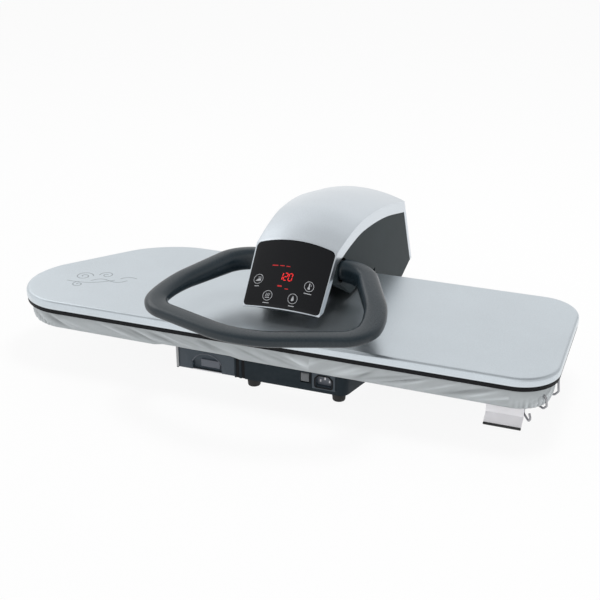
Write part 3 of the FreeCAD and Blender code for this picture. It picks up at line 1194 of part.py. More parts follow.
# Arm frame: two side plates, cross tubes, posts, hinge bushes and yoke pin
plate_low = D.lip_z + D.under_thick * 2
plate_front = D.handle_y - D.hub_radius
behind_wall = BELLY_Y + D.under_thick * 4
hinge_low = D.hinge_z - D.bush_radius - D.under_thick
plate_corners = [
    (plate_front, plate_low + (D.throat_y - plate_front) * CHIN_FALL),
    (D.throat_y, plate_low),
    (behind_wall, plate_low),
    (D.hinge_y - D.bush_radius - D.side_plate, hinge_low),
    (D.bracket_rear, hinge_low),
    (D.bracket_rear, D.bracket_top),
    (D.tail_y - D.band * 2, D.tail_z - D.band),
    (D.back_y, D.back_z - D.band),
    (D.crest_y, D.crest_z - D.band),
    (D.handle_y, D.brow_z - D.band),
    (plate_front, D.handle_z + D.side_plate),
]
bores = [
    cylinder("bush_seat", "X", -FAR / 4, D.hinge_y, D.hinge_z, D.bush_radius, FAR / 2),
    cylinder("shaft_bore", "X", -FAR / 4, D.handle_y, D.handle_z, D.shaft_radius + D.run_gap, FAR / 2),
    cylinder("yoke_seat", "X", -FAR / 4, D.pivot_y, D.pivot_z, D.pivot_radius, FAR / 2),
]
for side, start in (("left", -D.side_plate_x - D.side_plate), ("right", D.side_plate_x)):
    sheet_plate = side_profile("plate_blank_" + side, plate_corners, start, D.side_plate)
    keep("arm_plate_" + side, cut("arm_plate_%s_sheet" % side, sheet_plate, *bores))
keep("cross_tubes", group("cross_tube_pair", [
    cylinder("cross_tube%d" % k, "X", -D.side_plate_x, y, z, D.tube_radius, D.side_plate_x * 2)
    for k, (y, z) in enumerate(((D.tube_front_y, D.tube_front_z), (D.tube_rear_y, D.tube_rear_z)))]))
post_start = D.side_plate_x + D.side_plate
posts = []
for k, (y, z) in enumerate(((D.post_front_y, D.post_front_z), (D.post_rear_y, D.post_rear_z))):
    for side, start in (("left", -FAR / 4 - post_start), ("right", post_start)):
        bar = cylinder("post_bar%d_%s" % (k, side), "X", start, y, z, D.post_radius, FAR / 4)
        posts.append(common("post%d_%s" % (k, side), frame_form, bar))
keep("panel_posts", group("panel_post_set", posts))
bushes = []
bush_length = D.side_plate + D.seat_gap * 2
bush_starts = {"left": D.seat_gap - D.side_plate_x - bush_length, "right": D.side_plate_x - D.seat_gap}
for side, start in bush_starts.items():
    collar = cylinder("bush_" + side, "X", start, D.hinge_y, D.hinge_z, D.bush_radius, bush_length)
    bore = cylinder("bush_bore_" + side, "X", start - bush_length, D.hinge_y, D.hinge_z,
                    D.hinge_radius + D.run_gap, bush_length * 3)
    bushes.append(cut("hinge_bush_" + side, collar, bore))
keep("hinge_bushes", group("hinge_bush_pair", bushes))
keep("yoke_pin", cylinder("yoke_pin_bar", "X", -post_start, D.pivot_y, D.pivot_z, D.pivot_radius,
                          post_start * 2))

# Handle: loop, two hubs, shaft and pressure cam
FALL_TURN = FreeCAD.Rotation(V(1, 0, 0), math.degrees(math.atan(D.handle_fall.value)))
loop_path = doc.addObject("Sketcher::SketchObject", "loop_path")
loop_path.Placement = FreeCAD.Placement(V(), FALL_TURN)
place(loop_path, ZERO, D.handle_y, D.handle_z)
half_path = [(-D.hub_outer, ZERO), (-D.loop_elbow, ZERO), (-D.loop_half, -D.loop_side),
             (-D.loop_half, -D.loop_corner)]
half_bends = [None, D.elbow_radius, D.side_radius, D.corner_bend]
draw_outline(loop_path, half_path + [(ZERO, -D.loop_front)] + [(-x, y) for x, y in reversed(half_path)],
             half_bends + [D.front_radius] + half_bends[::-1], closed=False)
grip = doc.addObject("Sketcher::SketchObject", "grip_section")
grip.Placement = FreeCAD.Placement(V(), FALL_TURN * PLANES["YZ"][0])
place(grip, -D.hub_outer, D.handle_y, D.handle_z)
half_width = D.grip_width / 2
half_thick = D.grip_thick / 2
draw_outline(grip, [(half_width, -half_thick), (half_width, half_thick), (-half_width, half_thick),
                    (-half_width, -half_thick)], [D.grip_round] * 4)
grip_area = D.grip_width.value * D.grip_thick.value - (4 - math.pi) * D.grip_round.value ** 2
keep("handle_loop", sweep("handle_loop_tube", loop_path, grip, grip_area))
for side, start in (("left", -D.hub_outer), ("right", D.hub_inner)):
    keep("handle_hub_" + side, cylinder("hub_" + side, "X", start, D.handle_y, D.handle_z, D.hub_radius,
                                        D.hub_outer - D.hub_inner))
shaft_bar = cylinder("shaft_bar", "X", -D.hub_inner, D.handle_y, D.handle_z, D.shaft_radius,
                     D.hub_inner * 2)
keep("handle_shaft", shaft_bar)
cam_disc = cylinder("cam_disc", "X", -D.cam_half, D.handle_y, D.handle_z - D.cam_offset, D.cam_radius,
                    D.cam_half * 2)
cam_bore = cylinder("cam_bore", "X", -D.cam_half * 2, D.handle_y, D.handle_z, D.shaft_radius,
                    D.cam_half * 4)
keep("pressure_cam", cut("pressure_cam_disc", cam_disc, cam_bore))

# Check every step of the model and every piece, then write the pieces
doc.recompute()
for item in doc.Objects:
    if "Invalid" in item.State or "Error" in item.State:
        raise RuntimeError("%s did not build: %s" % (item.Name, item.State))
for label, item in PARTS.items():
    shape = item.Shape
    if shape.isNull() or not shape.isValid() or shape.Volume <= 0:
        raise RuntimeError("%s has no valid solid" % label)
os.makedirs("parts", exist_ok=True)
for label, item in PARTS.items():
    item.Shape.exportStep("parts/%s.step" % label)
print("%d pieces written" % len(PARTS))
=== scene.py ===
# %% [markdown]
# # A steam ironing press, dressed for its portrait
#
# The press is a long padded board with a heated plate lying on it, a short arm that carries the plate, and
# a loop handle to pull it down with. The construction comes in as a fixed frame of named nodes, in metres,
# with Z up and the floor at zero. This lesson gives each surface its shape and its finish and leaves the
# frame alone.

# %% Load the frame
import math
import random

import bmesh
import bpy
from mathutils import Matrix, Vector


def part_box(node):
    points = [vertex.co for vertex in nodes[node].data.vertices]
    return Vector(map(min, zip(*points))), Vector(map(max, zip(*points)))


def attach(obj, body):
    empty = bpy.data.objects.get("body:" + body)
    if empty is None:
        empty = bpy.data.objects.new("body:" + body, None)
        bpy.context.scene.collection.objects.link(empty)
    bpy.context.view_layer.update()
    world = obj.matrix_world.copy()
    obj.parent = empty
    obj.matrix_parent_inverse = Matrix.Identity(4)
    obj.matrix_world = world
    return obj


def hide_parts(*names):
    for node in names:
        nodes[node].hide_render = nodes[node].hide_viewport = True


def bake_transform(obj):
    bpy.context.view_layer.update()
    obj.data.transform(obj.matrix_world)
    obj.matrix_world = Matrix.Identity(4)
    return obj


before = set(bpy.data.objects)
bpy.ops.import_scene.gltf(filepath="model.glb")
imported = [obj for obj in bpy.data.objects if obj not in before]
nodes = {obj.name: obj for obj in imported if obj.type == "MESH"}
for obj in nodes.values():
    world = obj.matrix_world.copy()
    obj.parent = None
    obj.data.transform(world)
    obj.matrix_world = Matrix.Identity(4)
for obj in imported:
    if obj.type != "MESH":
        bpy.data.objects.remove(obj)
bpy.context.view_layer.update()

print("nodes in the frame:", len(nodes))

# %% [markdown]
# ## One ruler for everything
#
# A press like this is drawn from the middle of its arm and from the front edge of its plate, so the same
# two lines serve as rulers here. They are read from the frame: the hinge pin gives the middle, the plate
# cover gives the front edge. Sizes are then written in millimetres, which are easier to picture than
# fractions of a metre.

# %% Rulers
MM = 0.001
pin_low, pin_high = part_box("hinge_pin")
ARM_X = (pin_low.x + pin_high.x) / 2
FRONT_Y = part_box("plate_cover")[0].y


def at(x, y, z):
    """A point given in millimetres from the arm's middle, the plate's front edge and the floor."""
    return Vector((ARM_X + x * MM, FRONT_Y + y * MM, z * MM))


def ruler_place(point):
    """A point in millimetres on the rulers."""
    return (point.x - ARM_X) / MM, (point.y - FRONT_Y) / MM, point.z / MM


def ruler_box(node):
    """The lowest and the highest corner of a node on the rulers."""
    return [ruler_place(corner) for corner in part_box(node)]


def mix(first, last, share):
    """A value part of the way from one to another."""
    return first + (last - first) * share


def clamp(share):
    """A share kept between nothing and all."""
    return max(0, min(1, share))


def ease(share):
    """A share that starts and ends gently."""
    return share * share * (3 - 2 * share)


print("arm middle, front edge:", round(ARM_X, 4), round(FRONT_Y, 4))

# %% [markdown]
# ## Camera
#
# The portrait is taken from the right and from above, with a rather long lens, so the long board hardly
# narrows towards its far end. A camera is aimed with two turns: it is tipped down by its elevation and
# swung by its azimuth.

# %% Camera
CAMERA_PLACE = (546.4, -1334.4, 817.3)
CAMERA_AZIMUTH, CAMERA_ELEVATION = 20.4, 24.2
CAMERA_LENS, CAMERA_SENSOR = 67.74, 36

camera_data = bpy.data.cameras.new("portrait_camera")
camera_data.lens = CAMERA_LENS
camera_data.sensor_width = CAMERA_SENSOR
camera = bpy.data.objects.new("portrait_camera", camera_data)
camera.location = at(*CAMERA_PLACE)
camera.rotation_euler = (math.radians(90 - CAMERA_ELEVATION), 0, math.radians(CAMERA_AZIMUTH))
bpy.context.scene.collection.objects.link(camera)
bpy.context.scene.camera = camera
print("camera stands", round(camera.location.length, 2), "m from the origin")

# %% [markdown]
# ## Node helpers
#
# A material is a small network. A few helpers keep the networks readable: an input is fed either a plain
# value or the output of another node, so a network is written from its start to its end without a list of
# links. A group holds an effect that several finishes share, and it puts out only colours, heights and
# values, while the shader itself stays in each material.

# %% Node helpers
MIX_SOCKETS = {"FLOAT": (2, 3, 0), "RGBA": (6, 7, 2)}


def feed(tree, socket, value):
    """Link an input to an output, or to a node's first output, or set it to a plain value."""
    if isinstance(value, bpy.types.Node):
        value = value.outputs[0]
    if isinstance(value, bpy.types.NodeSocket):
        tree.links.new(value, socket)
    else:
        socket.default_value = value


def fill(tree, node, **values):
    """Feed a node's inputs by name; a name that is no input sets the node's own property."""
    for name, value in values.items():
        title = name.replace("_", " ")
        socket = next((found for found in node.inputs if found.name.lower() == title), None)
        if socket is None:
            setattr(node, name, value)
        else:
            feed(tree, socket, value)


def add_node(tree, kind, *ordered, **named):
    """A new node; ordered values feed its first inputs, named ones an input or a property."""
    made = tree.nodes.new("ShaderNode" + kind)
    fill(tree, made, **named)
    for socket, value in zip(made.inputs, ordered):
        feed(tree, socket, value)
    return made


def calculate(tree, operation, first, last):
    """A Math node on two values."""
    return add_node(tree, "Math", first, last, operation=operation)


def blend_node(tree, kind, share, first, last):
    """The output of a Mix node between two values (FLOAT) or two colours (RGBA)."""
    made = add_node(tree, "Mix", share, data_type=kind)
    first_input, last_input, output = MIX_SOCKETS[kind]
    feed(tree, made.inputs[first_input], first)
    feed(tree, made.inputs[last_input], last)
    return made.outputs[output]


# %% Groups of nodes
def new_group(name, inputs, outputs):
    """An empty group; an input's kind shows in its default, and outputs are given by name and kind."""
    tree = bpy.data.node_groups.new(name, "ShaderNodeTree")
    for title, value in inputs.items():
        kind = {type(None): "Vector", tuple: "Color"}.get(type(value), "Float")
        socket = tree.interface.new_socket(name=title, in_out="INPUT", socket_type="NodeSocket" + kind)
        if value is not None:
            socket.default_value = value
    for title, kind in outputs.items():
        tree.interface.new_socket(name=title, in_out="OUTPUT", socket_type="NodeSocket" + kind)
    print("group:", name)
    return tree, tree.nodes.new("NodeGroupInput").outputs, tree.nodes.new("NodeGroupOutput").inputs


def place_group(tree, group, **values):
    """A shared group placed in a tree with its own values."""
    return add_node(tree, "Group", node_tree=group, **values)


# %% [markdown]
# ## Shared effects
#
# No real surface is one flat colour. Paint and plastic drift a little in tone over a hand's breadth,
# moulded plastic has a fine grain, silver paint is full of tiny flakes, corners rub bright or pale with
# use, and dust settles on what faces up. Each of these is one group here, and every finish below takes the
# ones it needs.

# %% Ways to vary and cover a tone
MID_GREY, PALE_GREY = (0.5, 0.5, 0.5, 1), (0.8, 0.8, 0.8, 1)
DUST_TONE = (0.55, 0.54, 0.52, 1)


def vary(tree, tone, amount, pattern, **span):
    """A tone made darker and lighter by an amount, as a pattern goes from low to high."""
    low = calculate(tree, "SUBTRACT", 1, amount)
    high = calculate(tree, "ADD", 1, amount)
    share = add_node(tree, "MapRange", value=pattern, to_min=low, to_max=high, **span)
    return add_node(tree, "VectorMath", tone, operation="SCALE", scale=share)


def cover_up(tree, tone, cover, *masks):
    """A tone covered by another where every mask is high."""
    share = masks[0]
    for mask in masks[1:]:
        share = calculate(tree, "MULTIPLY", share, mask)
    return blend_node(tree, "RGBA", share, tone, cover)


# %% Tone drift
def make_tone_drift():
    tree, source, result = new_group(
        "tone drift", {"Vector": None, "Tone": MID_GREY, "Spread": 0.06, "Scale": 18.0}, {"Color": "Color"})
    clouds = add_node(tree, "TexNoise", vector=source["Vector"], scale=source["Scale"], detail=3.0,
                      roughness=0.55)
    drifted = vary(tree, source["Tone"], source["Spread"], clouds, from_min=0.3, from_max=0.7)
    feed(tree, result["Color"], drifted)
    return tree


TONE_DRIFT = make_tone_drift()


# %% Fine grain
def make_fine_grain():
    tree, source, result = new_group(
        "fine grain", {"Vector": None, "Scale": 1500.0, "Low": 0.4, "High": 0.5},
        {"Height": "Float", "Roughness": "Float"})
    pebbles = add_node(tree, "TexNoise", vector=source["Vector"], scale=source["Scale"], detail=1.5,
                       roughness=0.5)
    gloss = add_node(tree, "MapRange", value=pebbles, to_min=source["Low"], to_max=source["High"])
    feed(tree, result["Height"], pebbles)
    feed(tree, result["Roughness"], gloss)
    return tree


FINE_GRAIN = make_fine_grain()


# %% Edge wear
def make_edge_wear():
    tree, source, result = new_group(
        "edge wear", {"Vector": None, "Color": MID_GREY, "Worn": PALE_GREY, "Amount": 0.5},
        {"Color": "Color"})
    sharpness = add_node(tree, "NewGeometry").outputs["Pointiness"]
    ridge = add_node(tree, "MapRange", value=sharpness, from_min=0.52, from_max=0.6)
    patches = add_node(tree, "TexNoise", vector=source["Vector"], scale=160.0, detail=4.0)
    worn = cover_up(tree, source["Color"], source["Worn"], ridge, patches, source["Amount"])
    feed(tree, result["Color"], worn)
    return tree


EDGE_WEAR = make_edge_wear()


# %% Silver flakes
def make_silver_flakes():
    tree, source, result = new_group(
        "silver flakes", {"Vector": None, "Tone": MID_GREY, "Sparkle": 0.1, "Scale": 2600.0},
        {"Color": "Color", "Height": "Float"})
    cells = add_node(tree, "TexVoronoi", vector=source["Vector"], scale=source["Scale"], feature="F1")
    split = add_node(tree, "SeparateColor", cells.outputs["Color"])
    feed(tree, result["Color"], vary(tree, source["Tone"], source["Sparkle"], split))
    feed(tree, result["Height"], split.outputs[1])
    return tree


SILVER_FLAKES = make_silver_flakes()


# %% Settled dust
def make_settled_dust():
    tree, source, result = new_group(
        "settled dust", {"Vector": None, "Color": MID_GREY, "Amount": 0.05}, {"Color": "Color"})
    upward = add_node(tree, "SeparateXYZ", add_node(tree, "NewGeometry").outputs["Normal"]).outputs["Z"]
    facing = add_node(tree, "MapRange", value=upward, from_min=0.5)
    specks = add_node(tree, "TexNoise", vector=source["Vector"], scale=420.0, detail=5.0, roughness=0.7)
    thin = add_node(tree, "MapRange", value=specks, from_min=0.45, from_max=0.75)
    dusty = cover_up(tree, source["Color"], DUST_TONE, facing, thin, source["Amount"])
    feed(tree, result["Color"], dusty)
    return tree


SETTLED_DUST = make_settled_dust()

# %% [markdown]
# ## Finishes
#
# One function makes the plain finishes of the press: it reads Object coordinates, sends the tone through
# drift, wear and dust, takes roughness and a tiny relief from the grain, and ends in one Principled shader.
# What is the same all over the surface, such as metallic or the strength of a coat, is set on the shader
# itself.

# %% Plain finishes
GLOSS_SPREAD, GRAIN_DEPTH = 0.05, 0.0004


def new_material(name):
    """A material, its tree, its Principled shader and its Object coordinates."""
    material = bpy.data.materials.new(name)
    material.use_nodes = True
    tree = material.node_tree
    tree.nodes.clear()
    shader = add_node(tree, "BsdfPrincipled")
    add_node(tree, "OutputMaterial", surface=shader)
    return material, tree, shader, add_node(tree, "TexCoord").outputs["Object"]


def plain_finish(name, tone, worn, rough, grain=1500, relief=0.06, wear=0.4, dust=0.0, metal=0, coat=0,
                 specular=0.5):
    """Paint, plastic, rubber or bare metal: drifted tone, worn edges, fine grain."""
    material, tree, shader, place = new_material(name)
    drift = place_group(tree, TONE_DRIFT, vector=place, tone=(*tone, 1))
    rubbed = place_group(tree, EDGE_WEAR, vector=place, color=drift, worn=(*worn, 1), amount=wear)
    settled = place_group(tree, SETTLED_DUST, vector=place, color=rubbed, amount=dust)
    pebbles = place_group(tree, FINE_GRAIN, vector=place, scale=grain, low=rough - GLOSS_SPREAD,
                          high=rough + GLOSS_SPREAD).outputs
    bumps = add_node(tree, "Bump", strength=relief, distance=GRAIN_DEPTH, height=pebbles["Height"])
    fill(tree, shader, base_color=settled, roughness=pebbles["Roughness"], normal=bumps, metallic=metal,
         coat_weight=coat, coat_roughness=0.08, specular_ior_level=specular)
    return material


# %% Finishes of the press
# Each finish has its tone, its tone where it is worn, its roughness and what else sets it apart.
PLAIN_FINISHES = {
    "dark_panel": ((0.030, 0.042, 0.047), (0.07, 0.08, 0.085), 0.6, {"dust": 0.03, "specular": 0.18}),
    "gloss_black": ((0.005, 0.0055, 0.007), (0.02, 0.02, 0.02), 0.1,
                    {"relief": 0.0, "specular": 0.2, "coat": 0.1}),
    "black_plastic": ((0.012, 0.012, 0.013), (0.03, 0.03, 0.03), 0.5, {}),
    # Near black and dull: the black of small parts, and painted shade on the plate's rim, in the rim lip
    # under it and in the bar beside the rocker.
    "gap_black": ((0.004, 0.0045, 0.006), (0.01, 0.01, 0.012), 0.6, {"wear": 0.0, "specular": 0.2}),
    "charcoal": ((0.012, 0.021, 0.028), (0.03, 0.038, 0.044), 0.28, {"relief": 0.04}),
    "base_grey": ((0.017, 0.026, 0.033), (0.05, 0.06, 0.07), 0.5, {"dust": 0.02, "specular": 0.12}),
    "tank_grey": ((0.042, 0.060, 0.078), (0.12, 0.13, 0.15), 0.45, {"dust": 0.02}),
    "tab_grey": ((0.13, 0.145, 0.175), (0.2, 0.21, 0.23), 0.4, {}),
    "rocker_grey": ((0.17, 0.18, 0.19), (0.25, 0.25, 0.26), 0.4, {}),
    "bracket_white": ((0.95, 0.94, 0.97), (0.95, 0.95, 0.96), 0.35, {"metal": 0.1}),
    "print_grey": ((0.34, 0.38, 0.41), (0.34, 0.38, 0.41), 0.4, {"wear": 0.0, "metal": 0.6}),
    "panel_print": ((0.42, 0.43, 0.45), (0.5, 0.5, 0.5), 0.4, {"wear": 0.0}),
    "light_key": ((0.45, 0.46, 0.47), (0.6, 0.6, 0.6), 0.4, {}),
    "felt": ((0.66, 0.64, 0.58), (0.7, 0.68, 0.62), 0.9, {"grain": 700, "relief": 0.3}),
    "rubber_black": ((0.011, 0.011, 0.011), (0.05, 0.05, 0.05), 0.7, {"relief": 0.12}),
    "plated_steel": ((0.6, 0.6, 0.62), (0.75, 0.75, 0.76), 0.34, {"metal": 1, "wear": 0.2}),
    "chrome_wire": ((0.34, 0.34, 0.36), (0.5, 0.5, 0.5), 0.16, {"metal": 1, "relief": 0.0}),
    "cast_aluminium": ((0.62, 0.62, 0.63), (0.75, 0.75, 0.75), 0.4, {"metal": 1}),
    "brass_fitting": ((0.62, 0.45, 0.2), (0.75, 0.6, 0.35), 0.3, {"metal": 1}),
    "circuit_green": ((0.02, 0.13, 0.06), (0.1, 0.25, 0.15), 0.4, {"coat": 0.4}),
}
FINISHES = {name: plain_finish(name, tone, worn, rough, **rest)
            for name, (tone, worn, rough, rest) in PLAIN_FINISHES.items()}
print("plain finishes:", len(FINISHES))

# %% [markdown]
# ## Silver paint
#
# The plate and the arm are sprayed with silver: aluminium flakes under a satin clear coat. It is neither
# chrome nor grey paint, so the shader is mostly metallic with a broad highlight, and a fine cell pattern
# gives the flakes their slightly different tones. The coat on top carries the soft mirror of the handle on
# the plate.

# %% Silver paint
SILVER_ROUGH, SILVER_SPREAD, SILVER_METAL = 0.3, 0.03, 0.88
SILVER_WORN = (0.8, 0.81, 0.83, 1)


def silver_finish(name, tone):
    material, tree, shader, place = new_material(name)
    drift = place_group(tree, TONE_DRIFT, vector=place, tone=(*tone, 1), spread=0.025, scale=9.0)
    flakes = place_group(tree, SILVER_FLAKES, vector=place, tone=drift, sparkle=0.09)
    rubbed = place_group(tree, EDGE_WEAR, vector=place, color=flakes, worn=SILVER_WORN, amount=0.25)
    pebbles = place_group(tree, FINE_GRAIN, vector=place, scale=900, low=SILVER_ROUGH - SILVER_SPREAD,
                          high=SILVER_ROUGH + SILVER_SPREAD).outputs
    bumps = add_node(tree, "Bump", strength=0.04, distance=0.0002, height=flakes.outputs["Height"])
    fill(tree, shader, base_color=rubbed, roughness=pebbles["Roughness"], normal=bumps,
         metallic=SILVER_METAL, coat_weight=0.25, coat_roughness=0.2)
    return material


for name, tone in (("silver_paint", (0.62, 0.68, 0.725)), ("silver_plastic", (0.67, 0.725, 0.775))):
    FINISHES[name] = silver_finish(name, tone)
    print("silver finish:", name)

# %% [markdown]
# ## Board cloth
#
# The board is covered with a silver-coated cotton: a tight plain weave under a thin metallic film that
# throws heat back into the laundry. The skirt carries the depth of each fold as an attribute, and the
# hollows are painted darker from it: painted shade in the folds, where little light reaches.

# %% Board cloth
CLOTH_TONE = (0.62, 0.66, 0.68, 1)


def cloth_finish(name):
    material, tree, shader, place = new_material(name)
    drift = place_group(tree, TONE_DRIFT, vector=place, tone=CLOTH_TONE, spread=0.05, scale=26.0)
    pebbles = place_group(tree, FINE_GRAIN, vector=place, scale=1200, low=0.42, high=0.55).outputs
    # Painted shade: the depth of the fold darkens the tone in the hollows, down to about a third of it.
    depth = add_node(tree, "Attribute", attribute_name="fold").outputs["Fac"]
    shade = add_node(tree, "MapRange", value=depth, from_min=-3, from_max=2, to_min=0.35)
    fold_shade_painted = add_node(tree, "MixRGB", 1, drift, shade, blend_type="MULTIPLY")
    bumps = add_node(tree, "Bump", strength=0.25, distance=GRAIN_DEPTH, height=pebbles["Height"])
    fill(tree, shader, base_color=fold_shade_painted, roughness=pebbles["Roughness"], normal=bumps, metallic=0.6,
         sheen_weight=0.1)
    return material


FINISHES["board_cloth"] = cloth_finish("board_cloth")
print("cloth finish:", FINISHES["board_cloth"].name)

# %% [markdown]
# ## Panel light
#
# The figures on the panel glow red from behind. The tone is the same for the shader's colour and its glow,
# and the glow stays below one, so that it reads as a lit figure and not as a lamp. The key print only
# reflects.

# %% Panel light
def lit_finish(name, tone, glow):
    """A finish that also gives light of its own."""
    material = plain_finish(name, tone, tone, 0.3, relief=0.0, wear=0.0)
    tree = material.node_tree
    fill(tree, tree.nodes["Principled BSDF"], emission_color=(*tone, 1), emission_strength=glow)
    return material


FINISHES["display_red"] = lit_finish("display_red", (0.62, 0.012, 0.014), 0.9)
FINISHES["display_dim"] = lit_finish("display_dim", (0.36, 0.008, 0.010), 0.45)
print("finishes in all:", len(FINISHES))

# %% [markdown]
# ## Dressing the frame's own pieces
#
# Each node already carries the name of its finish. Nodes whose shape is right as it stands keep it and only
# get the matching material.

# %% Dress the frame
for node in nodes.values():
    for place in node.material_slots:
        place.material = FINISHES[place.material.name.split(".")[0]]
print("dressed nodes:", len(nodes))

# %% [markdown]
# ## How the pieces are modelled
#
# Every new piece starts as a primitive and is shaped in edit mode, as it would be by hand. Small helpers
# save repetition: they open a piece alone, select its corners, edges or faces by a test, draw a flat face
# with rounded corners, raise it, round its rim, hollow it into a ring, or apply a modifier. Corners are
# rounded by a vertex bevel, whose reach along each edge is the radius times the tangent of half the turn.

# %% Selecting
NEAR = 0.00002


def start_fresh():
    """Back to object mode with nothing selected, so an operator touches only what comes next."""
    if bpy.context.mode != "OBJECT":
        bpy.ops.object.mode_set(mode="OBJECT")
    bpy.ops.object.select_all(action="DESELECT")


def take(piece):
    """Select one piece alone and make it the active one."""
    start_fresh()
    piece.select_set(True)
    bpy.context.view_layer.objects.active = piece


def edit(piece):
    """Open one piece in edit mode with all of it selected."""
    take(piece)
    bpy.ops.object.mode_set(mode="EDIT")
    bpy.ops.mesh.select_all(action="SELECT")


def pick(kind, test):
    """In edit mode, select the corners (VERT), edges (EDGE) or faces (FACE) that pass a test."""
    bpy.ops.mesh.select_mode(type=kind)
    bpy.ops.mesh.select_all(action="DESELECT")
    mesh = bpy.context.edit_object.data
    shape = bmesh.from_edit_mesh(mesh)
    for part in {"VERT": shape.verts, "EDGE": shape.edges, "FACE": shape.faces}[kind]:
        if test(part):
            part.select_set(True)
    shape.select_flush_mode()
    bmesh.update_edit_mesh(mesh)


def level(z):
    """A test for edges and faces that lie at a height in millimetres."""
    return lambda part: all(abs(corner.co.z - z * MM) < NEAR for corner in part.verts)


def name_piece(name):
    """Name the piece just made, and its mesh."""
    piece = bpy.context.object
    piece.name = name
    piece.data.name = name
    return piece


# %% Shaping in edit mode
def turn_outward():
    """Make every face look outwards."""
    bpy.ops.mesh.select_all(action="SELECT")
    bpy.ops.mesh.normals_make_consistent(inside=False)


def raise_face(rise):
    """Extrude what is selected upwards by millimetres."""
    bpy.ops.mesh.extrude_region_move(TRANSFORM_OT_translate={"value": (0, 0, rise * MM)})


def round_rim(z, radius, steps):
    """Round the edges that lie at a height."""
    pick("EDGE", level(z))
    bpy.ops.mesh.bevel(offset=radius * MM, segments=steps, affect="EDGES")


def hollow(width, rise):
    """Turn a flat face into a ring of a width, raise it and leave edit mode."""
    bpy.ops.mesh.select_all(action="SELECT")
    bpy.ops.mesh.inset(thickness=width * MM)
    bpy.ops.mesh.delete(type="FACE")
    bpy.ops.mesh.select_all(action="SELECT")
    raise_face(rise)
    start_fresh()


def rounded_outline(name, corners, z, steps=12):
    """A flat face in edit mode; corners are (x, y, radius) in millimetres, in order round the outline."""
    start_fresh()
    bpy.ops.mesh.primitive_circle_add(vertices=len(corners), radius=0.1, fill_type="NGON")
    piece = name_piece(name)
    for vertex, corner in zip(piece.data.vertices, corners):
        vertex.co = at(*corner[:2], z)
    bpy.ops.object.mode_set(mode="EDIT")
    for index, (x, y, radius) in enumerate(corners):
        if not radius:
            continue
        here = Vector((x, y))
        before = here - Vector(corners[index - 1][:2])
        after = Vector(corners[(index + 1) % len(corners)][:2]) - here
        reach = radius * math.tan(before.angle(after) / 2)
        spot = at(x, y, z)
        pick("VERT", lambda corner: (corner.co - spot).length < NEAR)
        bpy.ops.mesh.bevel(offset=reach * MM, segments=steps, affect="VERTICES")
    turn_outward()
    return piece


def slab(name, corners, low, rise, steps=12):
    """A rounded outline raised to a slab; it stays in edit mode."""
    piece = rounded_outline(name, corners, low, steps)
    raise_face(rise)
    return piece


# %% Whole pieces
def modify(piece, kind, **settings):
    """Add a modifier, set it up and apply it."""
    take(piece)
    modifier = piece.modifiers.new(kind.lower(), kind)
    for name, value in settings.items():
        setattr(modifier, name, value)
    bpy.ops.object.modifier_apply(modifier=modifier.name)


def remap(piece, move):
    """Move every corner of a piece by a rule that takes and gives a point."""
    for vertex in piece.data.vertices:
        vertex.co = move(vertex.co.copy())


def cuboid(name, low, high):
    """A plain box between two corners in millimetres."""
    start_fresh()
    bpy.ops.mesh.primitive_cube_add(size=1)
    piece = name_piece(name)
    remap(piece, lambda point: at(*[mix(first, last, share + 0.5)
                                    for first, last, share in zip(low, high, point)]))
    return piece


def cut_out(piece, cutter):
    """Cut one piece out of another and drop the cutter."""
    modify(piece, "BOOLEAN", object=cutter, operation="DIFFERENCE", solver="EXACT")
    bpy.data.objects.remove(cutter)


def join_up(name, pieces):
    """Join pieces into one."""
    start_fresh()
    for piece in pieces:
        piece.select_set(True)
    bpy.context.view_layer.objects.active = pieces[0]
    bpy.ops.object.join()
    piece = name_piece(name)
    edit(piece)
    turn_outward()
    start_fresh()
    return piece


def hand_over(piece, finish, body, *replaced, angle=35, slot=None):
    """Smooth a finished piece, give it its finish and hang it on its body in place of its nodes."""
    take(piece)
    bpy.ops.object.shade_smooth_by_angle(angle=math.radians(angle))
    piece.data.materials.clear()
    piece.data.materials.append(FINISHES[finish])
    if body:
        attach(piece, body)
    if replaced:
        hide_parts(*replaced)
    print(piece.name, "faces:", len(piece.data.polygons))


# %% Bars along a bent wire
def bent_wire(name, bends, steps):
    """An open wire with rounded corners; bends are (x, y, radius) in millimetres."""
    wire = rounded_outline(name, bends, 0, steps)
    ends = {tuple(at(*bend[:2], 0)) for bend in (bends[0], bends[-1])}
    pick("FACE", lambda face: True)
    bpy.ops.mesh.delete(type="ONLY_FACE")
    pick("EDGE", lambda edge: {tuple(corner.co) for corner in edge.verts} == ends)
    bpy.ops.mesh.delete(type="EDGE")
    start_fresh()
    return wire


def sweep(wire, **settings):
    """Turn a wire into a bar: a curve with a section, closed at its ends, made a mesh again."""
    take(wire)
    bpy.ops.object.convert(target="CURVE")
    wire.data.dimensions = "3D"
    wire.data.use_fill_caps = True
    for name, value in settings.items():
        setattr(wire.data, name, value)
    bpy.ops.object.convert(target="MESH")


def wire_tube(name, bends, place, radius, steps=10):
    """A round tube along a bent wire; place is the rule that puts the wire's flat drawing in space."""
    tube = bent_wire(name, bends, steps)
    remap(tube, lambda point: place(*ruler_place(point)[:2]))
    sweep(tube, bevel_depth=radius * MM, bevel_resolution=4)
    return tube


# %% [markdown]
# ## Plate cover
#
# The heated plate wears a shallow pressed hood: straight at the right end, tapered to a blunt nose at the
# left, with a full round where the top turns into the side. It is drawn as an outline, raised, rounded with
# an edge bevel, opened underneath and given its sheet thickness. A small inset round the top keeps its
# shading flat. Last, a slot is cut through the top, where the yoke that carries the plate comes out.

